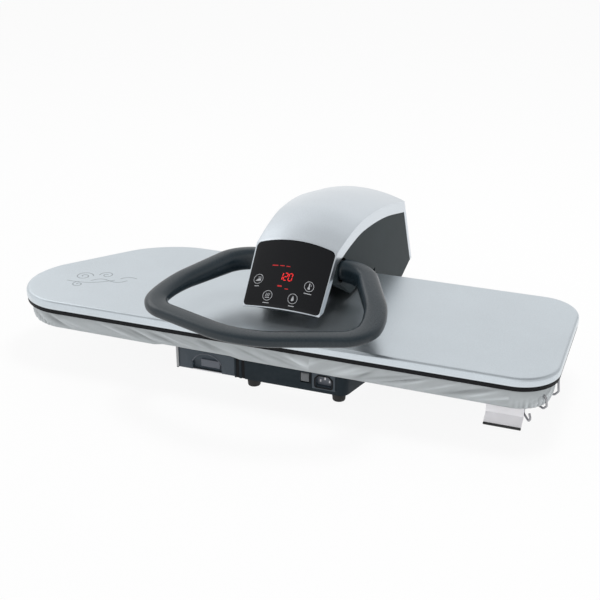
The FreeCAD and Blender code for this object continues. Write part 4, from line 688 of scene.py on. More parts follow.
# %% Plate cover
COVER_ROUND, COVER_STEPS, COVER_WALL, COVER_MARGIN = 5, 10, 1.6, 3
OUTLINE_STEPS = 20
RIGHT_CORNER = 59
TAPER_START, TAPER_RADIUS = 301, 140
NOSE_LENGTH, SHOULDER_RADIUS, NOSE_RADIUS = 117.5, 92, 84

(plate_left, _, plate_under), (plate_right, plate_depth, plate_top) = ruler_box("plate_cover")


def plate_outline(inset):
    """Plan of the plate and of the board under it, drawn in by an inset."""
    run = -TAPER_START - plate_left
    rise = plate_depth - NOSE_LENGTH
    lean, steep = Vector((run, rise)).normalized()
    return [
        (plate_right - inset, inset, RIGHT_CORNER - inset),
        (plate_right - inset, plate_depth - inset, RIGHT_CORNER - inset),
        (inset * (1 - lean) / steep - TAPER_START, plate_depth - inset, TAPER_RADIUS - inset),
        (plate_left + inset, NOSE_LENGTH - inset * (1 - steep) / lean, SHOULDER_RADIUS - inset),
        (plate_left + inset, inset, NOSE_RADIUS - inset),
    ]


plate_hood = slab("plate_hood", plate_outline(0), plate_under, plate_top - plate_under, OUTLINE_STEPS)
round_rim(plate_top, COVER_ROUND, COVER_STEPS)
pick("FACE", level(plate_top))
bpy.ops.mesh.inset(thickness=COVER_MARGIN * MM)
turn_outward()
pick("FACE", level(plate_under))
bpy.ops.mesh.delete(type="FACE")
modify(plate_hood, "SOLIDIFY", thickness=COVER_WALL * MM, offset=-1)

# %% Yoke slot
SLOT_HALF, SLOT_FRONT, SLOT_DEPTH, SLOT_REACH = 27, 126, 80, COVER_WALL * 4
cut_out(plate_hood, cuboid("slot_cutter", (-SLOT_HALF, SLOT_FRONT, plate_top - SLOT_REACH),
                           (SLOT_HALF, SLOT_FRONT + SLOT_DEPTH, plate_top + SLOT_REACH)))
hand_over(plate_hood, "silver_paint", "plate", "plate_cover")

# %% [markdown]
# ## Arm cover
#
# The arm is one arched silver moulding: a sloping front that holds the control panel, a crowned back that
# rises and falls again, a narrow band down each side and a closed rear. A grid is the right start, because
# its rows can follow the arch and its columns the crown. Each corner of the grid is moved to its place on
# the arch, the sheet gets its thickness, the panel opening is cut through it and a bevel breaks the long
# creases.

# %% The arch
LIP_Y, LIP_Z = 52, 129.5
ARM_HALF, ARM_FLARE = 60, 0.052
TOE = (30, 105.9, 0.3)
ARCH = [(121, 203.5, 12), (176, 214.5, 13.2), (232, 219, 14.4), (330, 208.5, 15.5), (430, 185, 17)]
REAR_FOOT_Y, REAR_FOOT_Z = 482, 63
BROW_Y, TAIL_Y, TAIL_Z = ARCH[0][0], ARCH[-1][0], ARCH[-1][1]


def arm_half(y):
    """Half width of the arm at a depth."""
    return ARM_HALF + ARM_FLARE * (y - LIP_Y)


def arch_slope(index, part):
    """Slope of a measure of the arch at one of its stations."""
    first = ARCH[max(index - 1, 0)]
    last = ARCH[min(index + 1, len(ARCH) - 1)]
    return (last[part] - first[part]) / (last[0] - first[0])


def arch_at(y, part):
    """Side edge (part 1) or crown (part 2) of the arm at a depth; a smooth curve through the stations."""
    if y <= BROW_Y:
        return mix(TOE[part], ARCH[0][part], (y - TOE[0]) / (BROW_Y - TOE[0]))
    index = max(k for k in range(len(ARCH) - 1) if y >= ARCH[k][0])
    first, last = ARCH[index], ARCH[index + 1]
    span = last[0] - first[0]
    t = (y - first[0]) / span
    leave = t * (1 - t) * (1 - t) * span * arch_slope(index, part)
    arrive = t * t * (t - 1) * span * arch_slope(index + 1, part)
    return mix(first[part], last[part], ease(t)) + leave + arrive


def arm_top(x, y):
    """Height of the crowned top; every cross-section is an arc."""
    crown = arch_at(y, 2)
    half = arm_half(y)
    radius = (half * half + crown * crown) / (2 * crown)
    return arch_at(y, 1) + crown - radius + math.sqrt(radius * radius - x * x)


def rear_y(z):
    """Depth of the leaning rear face at a height."""
    return REAR_FOOT_Y - (REAR_FOOT_Y - TAIL_Y) * (z - REAR_FOOT_Z) / (TAIL_Z - REAR_FOOT_Z)


print("arm half width at lip and tail:", arm_half(LIP_Y), round(arm_half(TAIL_Y), 1))

# %% Lines of the cover
BAND, BAND_GROWTH, REAR_BAND = 18.5, 1, 9
SLOPE_ROWS, ARCH_ROWS, REAR_ROWS = 14, 44, 16
SLOPE_RATE = (ARCH[0][1] - TOE[1]) / (BROW_Y - TOE[0])
HEEL_FALL, HEEL_RUN = 15, 54
SETTLE_ROUNDS = 8


def band_low(y):
    """Lower edge of the silver band at a depth behind the brow."""
    return arch_at(y, 1) - BAND - BAND_GROWTH * (y - LIP_Y) / (TAIL_Y - LIP_Y)


def top_end(share):
    """Depth at which the crowned top meets the rear face, for a share of the half width."""
    y = TAIL_Y
    for _ in range(SETTLE_ROUNDS):
        y = rear_y(arm_top(share * arm_half(y), min(y, TAIL_Y)))
    return y


def band_corner():
    """Where the lower edge of the band turns down into the rear band."""
    y = TAIL_Y - REAR_BAND
    for _ in range(SETTLE_ROUNDS):
        y = rear_y(band_low(y)) - REAR_BAND
    return y


CORNER_Y = band_corner()


def skin_line(share, row):
    """A point (y, z) of the cover at a share of its half width and a row of the grid."""
    if row <= SLOPE_ROWS:
        y = mix(LIP_Y, BROW_Y, row / SLOPE_ROWS)
        return y, arm_top(share * arm_half(y), y)
    end = top_end(share)
    if row <= SLOPE_ROWS + ARCH_ROWS:
        y = mix(BROW_Y, min(end, TAIL_Y), (row - SLOPE_ROWS) / ARCH_ROWS)
        return y, arm_top(share * arm_half(y), y)
    top = arm_top(share * arm_half(end), min(end, TAIL_Y))
    z = mix(top, REAR_FOOT_Z, (row - SLOPE_ROWS - ARCH_ROWS) / REAR_ROWS)
    return rear_y(z), z


def band_line(row):
    """A point (y, z) of the band's inner edge at a row of the grid."""
    if row <= SLOPE_ROWS:
        share = row / SLOPE_ROWS
        return mix(LIP_Y + BAND / SLOPE_RATE, BROW_Y, share), mix(LIP_Z, band_low(BROW_Y), share)
    if row <= SLOPE_ROWS + ARCH_ROWS:
        y = mix(BROW_Y, CORNER_Y, (row - SLOPE_ROWS) / ARCH_ROWS)
        return y, band_low(y)
    low = REAR_FOOT_Z - REAR_BAND * (HEEL_FALL / HEEL_RUN)
    z = mix(band_low(CORNER_Y), low, (row - SLOPE_ROWS - ARCH_ROWS) / REAR_ROWS)
    return rear_y(z) - REAR_BAND, z


print("the band turns down at a depth of", round(CORNER_Y, 1))

# %% Cover skin
SKIN = 2.5
BAND_COLUMNS, TOP_COLUMNS = 4, 28


def skin_point(column, row):
    """A corner of the grid on the arm's skin."""
    across = column - BAND_COLUMNS
    share = max(-1, min(1, across / TOP_COLUMNS * 2 - 1))
    y, z = skin_line(share, row)
    down = max(-across, across - TOP_COLUMNS, 0) / BAND_COLUMNS
    if down:
        inner_y, inner_z = band_line(row)
        y, z = mix(y, inner_y, down), mix(z, inner_z, down)
    return at(share * arm_half(y), y, z)


start_fresh()
skin_columns = TOP_COLUMNS + BAND_COLUMNS * 2
skin_rows = SLOPE_ROWS + ARCH_ROWS + REAR_ROWS
bpy.ops.mesh.primitive_grid_add(x_subdivisions=skin_columns, y_subdivisions=skin_rows, size=1)
arm_skin = name_piece("arm_skin")
remap(arm_skin, lambda point: skin_point((point.x + 0.5) * skin_columns, (point.y + 0.5) * skin_rows))
modify(arm_skin, "SOLIDIFY", thickness=SKIN * MM, offset=-1, use_even_offset=True)
print("arm skin corners:", len(arm_skin.data.vertices))

# %% [markdown]
# ## Control panel
#
# The panel is a sheet of black glass-like plastic bent over the crown of the slope. It is drawn flat,
# rounded at its corners and along its upper edge, sliced into squares so that it can bend, and then laid on
# the slope. The same outline, a little larger and much thicker, cuts the opening in the arm cover.

# %% Slope
SLOPE_COS = 1 / math.hypot(1, SLOPE_RATE)
SLOPE_SIN = SLOPE_RATE * SLOPE_COS
GLASS_HALF_LOW, GLASS_HALF_HIGH, GLASS_LOW, GLASS_LENGTH, GLASS_CORNER = 58.9, 61.4, 1.7, 98.6, 6
SLICE, SLICES_ASIDE, SLICES_ALONG = 6, 9, 16


def on_slope(x, along, out):
    """A point on the crowned slope: across it, up along it from the lip, and out of it."""
    y = LIP_Y + along * SLOPE_COS
    return at(x, y - out * SLOPE_SIN, arm_top(x, y) + out * SLOPE_COS)


def lay_on_slope(piece):
    """Bend a piece that is drawn flat over the slope."""
    remap(piece, lambda point: on_slope(*ruler_place(point)))


def glass_outline(grow):
    """Outline of the panel on the flattened slope, grown by a gap."""
    low, high = GLASS_LOW - grow, GLASS_LOW + GLASS_LENGTH + grow
    corner = GLASS_CORNER + grow
    right = [(GLASS_HALF_LOW + grow, low, corner), (GLASS_HALF_HIGH + grow, high, corner)]
    return right + [(-x, along, corner) for x, along, corner in reversed(right)]


def slice_and_bend(piece):
    """Slice a flat panel that is open in edit mode into small squares, and lay it on the slope."""
    cuts = [(at(count * SLICE, 0, 0), (1, 0, 0)) for count in range(-SLICES_ASIDE, SLICES_ASIDE + 1)]
    cuts += [(at(0, GLASS_LOW + count * SLICE, 0), (0, 1, 0)) for count in range(1, SLICES_ALONG + 1)]
    for place, facing in cuts:
        bpy.ops.mesh.select_all(action="SELECT")
        bpy.ops.mesh.bisect(plane_co=place, plane_no=facing)
    start_fresh()
    lay_on_slope(piece)


print("slope in degrees:", round(math.degrees(math.atan(SLOPE_RATE)), 1))

# %% Panel opening
GLASS_THICK, GLASS_GAP = 2.4, 0.25
CUTTER_LOW, CUTTER_HEIGHT = -GLASS_THICK * 5, GLASS_THICK * 8
SKIN_ROUND, SKIN_STEPS, SKIN_ANGLE = 1.1, 3, 28
panel_cutter = slab("panel_cutter", glass_outline(GLASS_GAP), CUTTER_LOW, CUTTER_HEIGHT)
slice_and_bend(panel_cutter)
cut_out(arm_skin, panel_cutter)
modify(arm_skin, "BEVEL", width=SKIN_ROUND * MM, segments=SKIN_STEPS, limit_method="ANGLE",
       angle_limit=math.radians(SKIN_ANGLE))
hand_over(arm_skin, "silver_plastic", "arm", "arm_cover")

# %% Glass
GLASS_ROUND, GLASS_STEPS = 0.9, 4
panel_glass = slab("panel_glass", glass_outline(0), -GLASS_THICK, GLASS_THICK)
round_rim(0, GLASS_ROUND, GLASS_STEPS)
slice_and_bend(panel_glass)
hand_over(panel_glass, "gloss_black", "arm", "control_panel")

# %% [markdown]
# ## Handle
#
# The loop is one thick moulded bar: it leaves the hubs sideways, swings forward along both sides and bows
# across the front. Its route is a bent wire first. The wire's corners are rounded with the same vertex
# bevel as an outline, then the wire becomes a curve with an oval section, and the curve becomes a mesh
# again. The oval is a circle drawn wide and then squared off a little, so that the bar has a broad top for
# the palm and no flat sides.

# %% Shape of the loop
SHAFT_Y, SHAFT_Z = 143, 168
HANDLE_FALL = 0.052
HUB_OUTER = 68
GRIP_WIDTH, GRIP_THICK, GRIP_SQUARE = 33, 17, 0.75
LOOP_HALF = [(HUB_OUTER, 0, 0), (99.5, 0, 50), (158, -125, 150), (158, -193, 40)]
LOOP = LOOP_HALF + [(0, -245, 150)] + [(-x, y, bend) for x, y, bend in reversed(LOOP_HALF)]
SLIM_AT, SLIM_SHARE, STOUT_SHARE = -200, 0.92, 2.0


def squared(point):
    """A point of the unit circle, moved to the bar's oval section."""
    x, y = [math.copysign(abs(value) ** GRIP_SQUARE, value) for value in point.xy]
    return Vector((x * GRIP_WIDTH / 2, y * GRIP_THICK / 2, 0)) * MM


def tilted(point):
    """A point of the loop's plan, raised to the shaft and let fall towards the front."""
    fall = ruler_place(point)[1] * HANDLE_FALL
    return point + Vector((0, SHAFT_Y, SHAFT_Z + fall)) * MM


def thicken(point):
    """Make the bar stouter towards the hubs and slimmer across the front."""
    x, y, z = ruler_place(point)
    behind = clamp((y - SHAFT_Y) / -SLIM_AT + 1)
    middle = SHAFT_Z + (y - SHAFT_Y) * HANDLE_FALL
    share = mix(SLIM_SHARE, STOUT_SHARE, ease(behind))
    return at(x, y, middle + (z - middle) * share)


print("bends of the loop:", len(LOOP))

# %% Handle loop
GRIP_CORNERS, GRIP_STEPS, GRIP_SMOOTH = 40, 18, 50
start_fresh()
bpy.ops.mesh.primitive_circle_add(vertices=GRIP_CORNERS, radius=1)
section = name_piece("grip_section")
remap(section, squared)
bpy.ops.object.convert(target="CURVE")
handle_bar = bent_wire("handle_bar", LOOP, GRIP_STEPS)
remap(handle_bar, tilted)
sweep(handle_bar, twist_mode="Z_UP", bevel_mode="OBJECT", bevel_object=section)
bpy.data.objects.remove(section)
remap(handle_bar, thicken)
edit(handle_bar)
bpy.ops.mesh.remove_doubles(threshold=NEAR)
turn_outward()
hand_over(handle_bar, "charcoal", "handle", "handle_loop", angle=GRIP_SMOOTH)

# %% [markdown]
# ## Scroll on the nose
#
# A faint scroll is printed on the nose of the plate: three spirals and three swinging stems, as on old
# ironwork. Each line is a thin wire bent in plan, laid on the plate and pressed nearly flat.

# %% Scroll on the nose
SCROLL_AT, SCROLL_TURN = (-330, 104), math.radians(20)
SCROLL_LINE, SCROLL_PRESS = 1.0, 0.1
SPIRAL_STEPS, SPIRAL_SHRINK, WAVE_STEPS = 48, 0.85, 24


def spiral(along, across, radius, start, turns):
    """Points of a spiral that winds inwards round a centre."""
    points = []
    for step in range(SPIRAL_STEPS):
        share = step / (SPIRAL_STEPS - 1)
        angle = start + turns * math.tau * share
        reach = radius * (1 - SPIRAL_SHRINK * share)
        points.append((along + reach * math.cos(angle), across + reach * math.sin(angle), 0))
    return points


def wave(along, across, length, swing, bows):
    """Points of a stem that swings to and fro."""
    shares = [step / WAVE_STEPS for step in range(WAVE_STEPS + 1)]
    return [(along + length * share, across + swing * math.sin(bows * math.pi * share), 0)
            for share in shares]


def scroll_place(along, across):
    """A point of the scroll's drawing on the plate."""
    cosine, sine = math.cos(SCROLL_TURN), math.sin(SCROLL_TURN)
    return at(SCROLL_AT[0] + along * cosine - across * sine, SCROLL_AT[1] + along * sine + across * cosine,
              plate_top)


SCROLL = [spiral(-26, 13, 15, 0, 1.6), spiral(10, 17, 12, math.pi, -1.4),
          spiral(-30, -19, 10, math.pi / 2, 1.3),
          wave(-50, -4, 76, -9, 1), wave(-12, -6, 58, 7, 2), wave(34, 2, 26, 5, 1)]
nose_scroll = join_up("nose_scroll", [wire_tube("scroll_%d" % count, line, scroll_place, SCROLL_LINE, 1)
                                      for count, line in enumerate(SCROLL)])
for vertex in nose_scroll.data.vertices:
    vertex.co.z = mix(plate_top * MM, vertex.co.z, SCROLL_PRESS)
hand_over(nose_scroll, "print_grey", "plate", slot="silver_paint")

# %% [markdown]
# ## Board cover
#
# The ironing board wears a fitted cover of silver-coated cotton: flat on the felt pad, turned down over the
# edge, and gathered under the board by a hem. The visible part is the skirt, so it is made from a fine
# grid. Its columns walk round the board's outline and its rows go over the edge, down the skirt and under
# the hem. Two kinds of folds are then worked in: long slanting pulls along the straight sides, and short
# upright gathers in the rounded corners, where the hem has more cloth than it needs. The flat top is filled
# inside the first row.

# %% Walk round an outline
def left_turn(first, last):
    """Angle from one direction to another, turning left."""
    return math.atan2(first.x * last.y - first.y * last.x, first.dot(last))


def outline_stretches(corners):
    """Arcs and straight stretches of an outline in turn: length, start, end, and an arc's centre."""
    arcs = []
    for index, (x, y, radius) in enumerate(corners):
        here = Vector((x, y))
        back = (Vector(corners[index - 1][:2]) - here).normalized()
        ahead = (Vector(corners[(index + 1) % len(corners)][:2]) - here).normalized()
        turn = math.pi - back.angle(ahead)
        reach = radius * math.tan(turn / 2)
        centre = here + (back + ahead).normalized() * radius / math.cos(turn / 2)
        arcs.append((radius * turn, here + back * reach, here + ahead * reach, centre))
    stretches = []
    for index, arc in enumerate(arcs):
        leave, following = arc[2], arcs[(index + 1) % len(arcs)][1]
        stretches += [arc, ((following - leave).length, leave, following, None)]
    return stretches


def outline_walk(corners, count):
    """Evenly spaced places round an outline (point, way out, walk so far, corner) and its length."""
    stretches = outline_stretches(corners)
    total = sum(stretch[0] for stretch in stretches)
    places = []
    for step in range(count):
        walked = left = total * step / count
        for length, first, last, centre in stretches:
            if left <= length:
                break
            left -= length
        share = left / length
        if centre is None:
            along = (last - first).normalized()
            places.append((first.lerp(last, share), Vector((along.y, -along.x)), walked, 0))
        else:
            spoke = first - centre
            spoke.rotate(Matrix.Rotation(share * left_turn(first - centre, last - centre), 2))
            places.append((centre + spoke, spoke.normalized(), walked, math.sin(math.pi * share)))
    return places, total


# %% Folds
CLOTH_INSET = 10
SKIRT_COLUMNS = 1200
FOLD_STEP, FOLD_SIZE, FOLD_WIDTH, FOLD_SLANT = (7, 26), (-2.3, 2.3), (4, 9), (30, 75)
FOLD_SEED, FOLD_REACH, LEAN_CHANGE_X = 11, 3, 60
PULL_RISE, PULL_START = 0.85, 0.1
GATHER_FINE, GATHER_WIDE, GATHER_WIDE_SHARE, GATHER_SHIFT = 1.15, 1.9, 0.5, 1.7
GATHER_FROM, GATHER_CORNER, GATHER_SIZE = 0.3, 1.8, 1.5

skirt_places, skirt_length = outline_walk(plate_outline(CLOTH_INSET), SKIRT_COLUMNS)
fold_dice = random.Random(FOLD_SEED)


def slanting_folds():
    """Places round the skirt, sizes, widths and slants of the long pulls."""
    folds = []
    spot = 0
    while spot < skirt_length:
        spot += fold_dice.uniform(*FOLD_STEP)
        folds.append((spot, fold_dice.uniform(*FOLD_SIZE), fold_dice.uniform(*FOLD_WIDTH),
                      fold_dice.uniform(*FOLD_SLANT)))
    return folds


FOLDS = slanting_folds()


def fold_depth(place, share):
    """How far the cloth stands out at a place round the skirt and a share of its drop."""
    point, _, around, corner = place
    lean = 1 if point.x < LEAN_CHANGE_X else -1
    depth = 0
    for spot, size, width, slant in FOLDS:
        away = around - spot - lean * slant * (share - 0.5)
        if abs(away) < width * FOLD_REACH:
            depth += size * math.exp(-(away / width) ** 2)
    wide = math.sin(around / GATHER_WIDE + GATHER_SHIFT)
    gathers = math.sin(around / GATHER_FINE) + GATHER_WIDE_SHARE * wide
    pinched = max(0, share - GATHER_FROM) * min(1, corner * GATHER_CORNER)
    pull = math.sin(math.pi * min(1, share * PULL_RISE + PULL_START))
    return depth * pull + gathers * pinched * GATHER_SIZE


print("slanting folds:", len(FOLDS), "round the skirt:", round(skirt_length))

# %% Section of the skirt
CLOTH_ROUND, TUCK_ROUND = 7.5, 4
HEM_WIDTH, HEM_SHARE, HEM_LIFT = 7, 0.6, 0.35
EDGE_ROWS, DROP_ROWS, TUCK_ROWS, HEM_ROWS = 4, 12, 4, 3
SKIRT_LOW_LEFT, SKIRT_LOW_RIGHT, SKIRT_LOW_BACK = 63, 58.5, 67
BACK_START, BACK_RUN = 60, 120
TANK_MIDDLE, TANK_REACH, TANK_RAMP, TANK_LIFT = -118, 70, 15, 2.9
SKIRT_BELLY = 1.1
DROP_END = EDGE_ROWS + DROP_ROWS
TUCK_END = DROP_END + TUCK_ROWS
SKIRT_ROWS = TUCK_END + HEM_ROWS
cloth_top = ruler_box("board_cover")[1][2]


def skirt_low(point):
    """Height of the skirt's lower edge, which is drawn up at the back and over the tank's way out."""
    front = mix(SKIRT_LOW_LEFT, SKIRT_LOW_RIGHT, (point.x - plate_left) / (plate_right - plate_left))
    front += TANK_LIFT * clamp((TANK_REACH - abs(point.x - TANK_MIDDLE)) / TANK_RAMP)
    return mix(front, SKIRT_LOW_BACK, clamp((point.y - BACK_START) / BACK_RUN))


def skirt_section(row, low):
    """How far in and how high a row of the skirt lies, and its share of the folds."""
    if row <= EDGE_ROWS:
        turn = math.pi / 2 * row / EDGE_ROWS
        return CLOTH_ROUND * (1 - math.sin(turn)), cloth_top - CLOTH_ROUND * (1 - math.cos(turn)), 0
    if row <= DROP_END:
        share = (row - EDGE_ROWS) / DROP_ROWS
        z = mix(cloth_top - CLOTH_ROUND, low + TUCK_ROUND, share)
        return -SKIRT_BELLY * math.sin(math.pi * share), z, share
    if row <= TUCK_END:
        turn = math.pi / 2 * (row - DROP_END) / TUCK_ROWS
        return TUCK_ROUND * (1 - math.cos(turn)), low + TUCK_ROUND * (1 - math.sin(turn)), 1
    return mix(TUCK_ROUND, HEM_WIDTH, (row - TUCK_END) / HEM_ROWS), low, HEM_SHARE


def skirt_point(column, row):
    """A corner of the skirt's grid and the depth of the fold there."""
    place = skirt_places[column % SKIRT_COLUMNS]
    point, out = place[:2]
    inward, z, share = skirt_section(row, skirt_low(point))
    fold = 0 if row < EDGE_ROWS else fold_depth(place, share)
    spot = point - out * (inward - fold)
    lift = HEM_LIFT * fold if share >= HEM_SHARE else 0
    return at(spot.x, spot.y, z + lift), fold


print("rows of the skirt:", SKIRT_ROWS, "from a height of", round(cloth_top, 1))

# %% Skirt
FLAT_MARGIN = 3
start_fresh()
bpy.ops.mesh.primitive_grid_add(x_subdivisions=SKIRT_COLUMNS, y_subdivisions=SKIRT_ROWS, size=1)
board_cloth = name_piece("board_cloth_cover")
# The depth of each fold is kept as an attribute for the cloth's painted shade in the hollows.
folds_at = board_cloth.data.attributes.new("fold", "FLOAT", "POINT")
for vertex, depth in zip(board_cloth.data.vertices, folds_at.data):
    vertex.co, depth.value = skirt_point(round((vertex.co.x + 0.5) * SKIRT_COLUMNS),
                                         round((0.5 - vertex.co.y) * SKIRT_ROWS))
edit(board_cloth)
bpy.ops.mesh.remove_doubles(threshold=NEAR)
pick("EDGE", level(cloth_top))
bpy.ops.mesh.edge_face_add()
bpy.ops.mesh.inset(thickness=FLAT_MARGIN * MM)
turn_outward()
start_fresh()

# %% Cloth thickness
CLOTH_THICK, CLOTH_SMOOTH = 0.7, 60
modify(board_cloth, "SOLIDIFY", thickness=CLOTH_THICK * MM, offset=-1)
hand_over(board_cloth, "board_cloth", "base", "board_cover", angle=CLOTH_SMOOTH)

# %% [markdown]
# ## Felt pad
#
# Under the cloth lies a felt pad with softly rounded upper edges. It hardly shows, but it holds the cloth
# up, so it is modelled with its own rounding.

# %% Felt pad
PAD_INSET, PAD_ROUND, PAD_STEPS = 12.1, 5, 4
pad_low, pad_high = [corner[2] for corner in ruler_box("board_pad")]
felt_pad = slab("felt_pad", plate_outline(PAD_INSET), pad_low, pad_high - pad_low)
round_rim(pad_high, PAD_ROUND, PAD_STEPS)
hand_over(felt_pad, "felt", "base", "board_pad")

# %% [markdown]
# ## Panel print and display
#
# Behind the glass shine a red number of the seven-stroke kind and a few small red bars. Round it are four
# touch keys, each a thin printed ring with a plain sign and a short bar under it. Everything is drawn flat,
# as thin plates on the glass, in the panel's own measures (across, and up from the lip), and then laid on
# the slope like the glass.

# %% Print helpers
PRINT_LIFT, PRINT_THICK = 0.03, 0.08
PRINT_STEPS, BAR_STEPS, BAR_CORNER, RING_CORNERS = 6, 3, 0.8, 48


def print_outline(corners, steps=PRINT_STEPS):
    """A thin printed plate on the flattened panel."""
    plate = slab("print", corners, PRINT_LIFT, PRINT_THICK, steps)
    start_fresh()
    return plate


def print_bar(x, along, width, height, lean=0.0):
    """A printed bar with rounded ends; a lean moves its upper end sideways."""
    half, rise = width / 2, height / 2
    corner = min(half, rise) * BAR_CORNER
    return print_outline([(x + half - lean, along - rise, corner), (x + half + lean, along + rise, corner),
                          (x - half + lean, along + rise, corner), (x - half - lean, along - rise, corner)],
                         BAR_STEPS)


def print_ring(x, along, radius, width):
    """A printed ring: a filled circle with its middle taken out."""
    start_fresh()
    bpy.ops.mesh.primitive_circle_add(vertices=RING_CORNERS, radius=radius * MM, fill_type="NGON",
                                      location=at(x, along, PRINT_LIFT))
    bpy.ops.object.transform_apply(location=True, rotation=False, scale=False)
    ring = name_piece("print")
    bpy.ops.object.mode_set(mode="EDIT")
    hollow(width, PRINT_THICK)
    return ring


def gather(name, plates, finish, slot):
    """Join printed plates, lay them on the slope and hang them on the arm."""
    piece = join_up(name, plates)
    lay_on_slope(piece)
    hand_over(piece, finish, "arm", slot=slot)


# %% Red number and bars
DIGIT_WIDTH, DIGIT_HEIGHT, DIGIT_STROKE, DIGIT_LEAN, DIGIT_SHIFT = 5.2, 10.4, 1.25, 0.35, 0.3
DIGIT_STEP, STROKE_GAP_ACROSS, STROKE_GAP_UP = 7.4, 1.3, 0.7
NUMBER, NUMBER_X, NUMBER_ALONG = "120", -3.4, 47
STROKES = {"1": "bc", "2": "abged", "0": "abcdef"}
LEGENDS = [(-23.5, 62.2, 9, 1.5), (-12.5, 62.2, 7, 1.3), (-3, 62, 6, 1.1), (-9.5, 32.8, 7, 2.2),
           (1.8, 29.8, 5.5, 1.3)]


def digit_strokes(digit, x, along):
    """Bars of a seven-stroke digit about its middle."""
    half, quarter, shift = DIGIT_WIDTH / 2, DIGIT_HEIGHT / 4, DIGIT_SHIFT
    across = DIGIT_WIDTH - DIGIT_STROKE * STROKE_GAP_ACROSS
    upright = DIGIT_HEIGHT / 2 - DIGIT_STROKE * STROKE_GAP_UP
    places = {"a": (shift * 2, quarter * 2), "g": (0, 0), "d": (-shift * 2, -quarter * 2),
              "b": (half + shift, quarter), "c": (half - shift, -quarter), "e": (-half - shift, -quarter),
              "f": (-half + shift, quarter)}
    bars = []
    for stroke in STROKES[digit]:
        size = (across, DIGIT_STROKE) if stroke in "agd" else (DIGIT_STROKE, upright, DIGIT_LEAN)
        bars.append(print_bar(x + places[stroke][0], along + places[stroke][1], *size))
    return bars


number_bars = []
for place, digit in enumerate(NUMBER):
    number_bars += digit_strokes(digit, NUMBER_X + (place - 1) * DIGIT_STEP, NUMBER_ALONG)
gather("display_number", number_bars, "display_red", "gloss_black")
gather("display_legends", [print_bar(*legend) for legend in LEGENDS], "display_dim", "gloss_black")

# %% Signs of the keys
def drop_sign(x, along):
    """A water drop."""
    return [print_outline([(x + 3.2, along - 3.4, 3), (x, along + 4.6, 0.4), (x - 3.2, along - 3.4, 3)])]


def steam_sign(x, along):
    """Three leaning wisps over a bar."""
    wisps = [print_bar(x + shift, along + 1.2, 0.9, 5, 0.7) for shift in (-2.4, 0, 2.4)]
    return wisps + [print_bar(x, along - 2.9, 7, 1.1)]


def iron_sign(x, along):
    """A small flat-iron: a sole with a sloping nose and a grip."""
    sole = print_outline([(x + 4.2, along - 3, 0.4), (x + 4.2, along + 0.6, 0.4),
                          (x + 0.4, along + 0.6, 1.5), (x - 4.4, along - 3, 0.4)])
    return [sole, print_bar(x + 1.8, along + 2.6, 5, 1)]


def heat_sign(x, along):
    """A thermometer: a stem on a bulb, with two marks."""
    bulb = print_outline([(x + 1.9, along - 4.4, 1.7), (x + 1.9, along - 0.8, 1.7),
                          (x - 1.9, along - 0.8, 1.7), (x - 1.9, along - 4.4, 1.7)])
    marks = [print_bar(x + 2.6, along + rise, 1.8, 0.6) for rise in (1.2, 3)]
    return [bulb, print_bar(x, along + 1.8, 1.6, 6)] + marks


# %% Touch keys
KEY_RADIUS, KEY_LINE = 7.4, 0.75
CAPTION_DROP, CAPTION_HEIGHT = 10.6, 1.1
# Each key has its place across and along the panel, its sign and the width of the bar under it.
KEYS = [(-45, 41.5, iron_sign, 7), (-24.6, 17.6, steam_sign, 10), (14.8, 17.6, drop_sign, 9),
        (35, 39.5, heat_sign, 12)]
key_prints = []
for key_x, key_along, sign, caption in KEYS:
    key_prints.append(print_ring(key_x, key_along, KEY_RADIUS, KEY_LINE))
    key_prints += sign(key_x, key_along)
    key_prints.append(print_bar(key_x, key_along - CAPTION_DROP, caption, CAPTION_HEIGHT))
gather("key_print", key_prints, "panel_print", "light_key")

# %% [markdown]
# ## Softened mouldings
#
# Some pieces have the right form in the frame, but every edge there is knife-sharp, and no moulded edge is.
# A copy of such a node is merged, its flat faces are joined again, and a narrow bevel breaks each crease,
# so that the edges catch the light. The copy then stands in for the node. The hubs of the handle are also
# drawn in a little.

# %% Soften
SOFT_STEPS, SOFT_ANGLE, FLAT_ANGLE, MERGE_REACH = 2, 32, 0.5, NEAR / 4


def soft_copy(node, width):
    """A merged copy of a node with a narrow round on each crease."""
    mesh = nodes[node].data.copy()
    piece = bpy.data.objects.new("soft_" + node, mesh)
    mesh.name = piece.name
    bpy.context.scene.collection.objects.link(piece)
    edit(piece)
    bpy.ops.mesh.remove_doubles(threshold=MERGE_REACH)
    bpy.ops.mesh.dissolve_limited(angle_limit=math.radians(FLAT_ANGLE))
    start_fresh()
    modify(piece, "BEVEL", width=width * MM, segments=SOFT_STEPS, limit_method="ANGLE",
           angle_limit=math.radians(SOFT_ANGLE), use_clamp_overlap=True)
    return piece


# Each node has the width of its rounds, its finish, its body and, if that isn't the finish, its slot.
SOFTENED = [
    ("base_shell", 1.2, "base_grey", "base", None),
    ("rear_housing", 1.2, "base_grey", "base", None),
    ("tank_front", 0.8, "tank_grey", "tank", "base_grey"),
    ("power_rocker", 0.7, "rocker_grey", "rocker", "light_key"),
    ("inlet_socket", 0.5, "tank_grey", "base", "black_plastic"),
    ("under_cover", 0.8, "dark_panel", "arm", None),
    ("feet", 1.5, "rubber_black", "base", None),
    ("cover_clip", 0.3, "bracket_white", "base", "plated_steel"),
    ("clip_edging", 0.8, "rubber_black", "base", None),
    ("plate_rim", 0.8, "gap_black", "plate", "black_plastic"),
    ("board_rails", 0.6, "plated_steel", "base", None),
]
for node, width, finish, body, slot in SOFTENED:
    hand_over(soft_copy(node, width), finish, body, node, slot=slot)

# %% Handle hubs
HUB_SHARE, HUB_ROUND = 0.78, 1.5


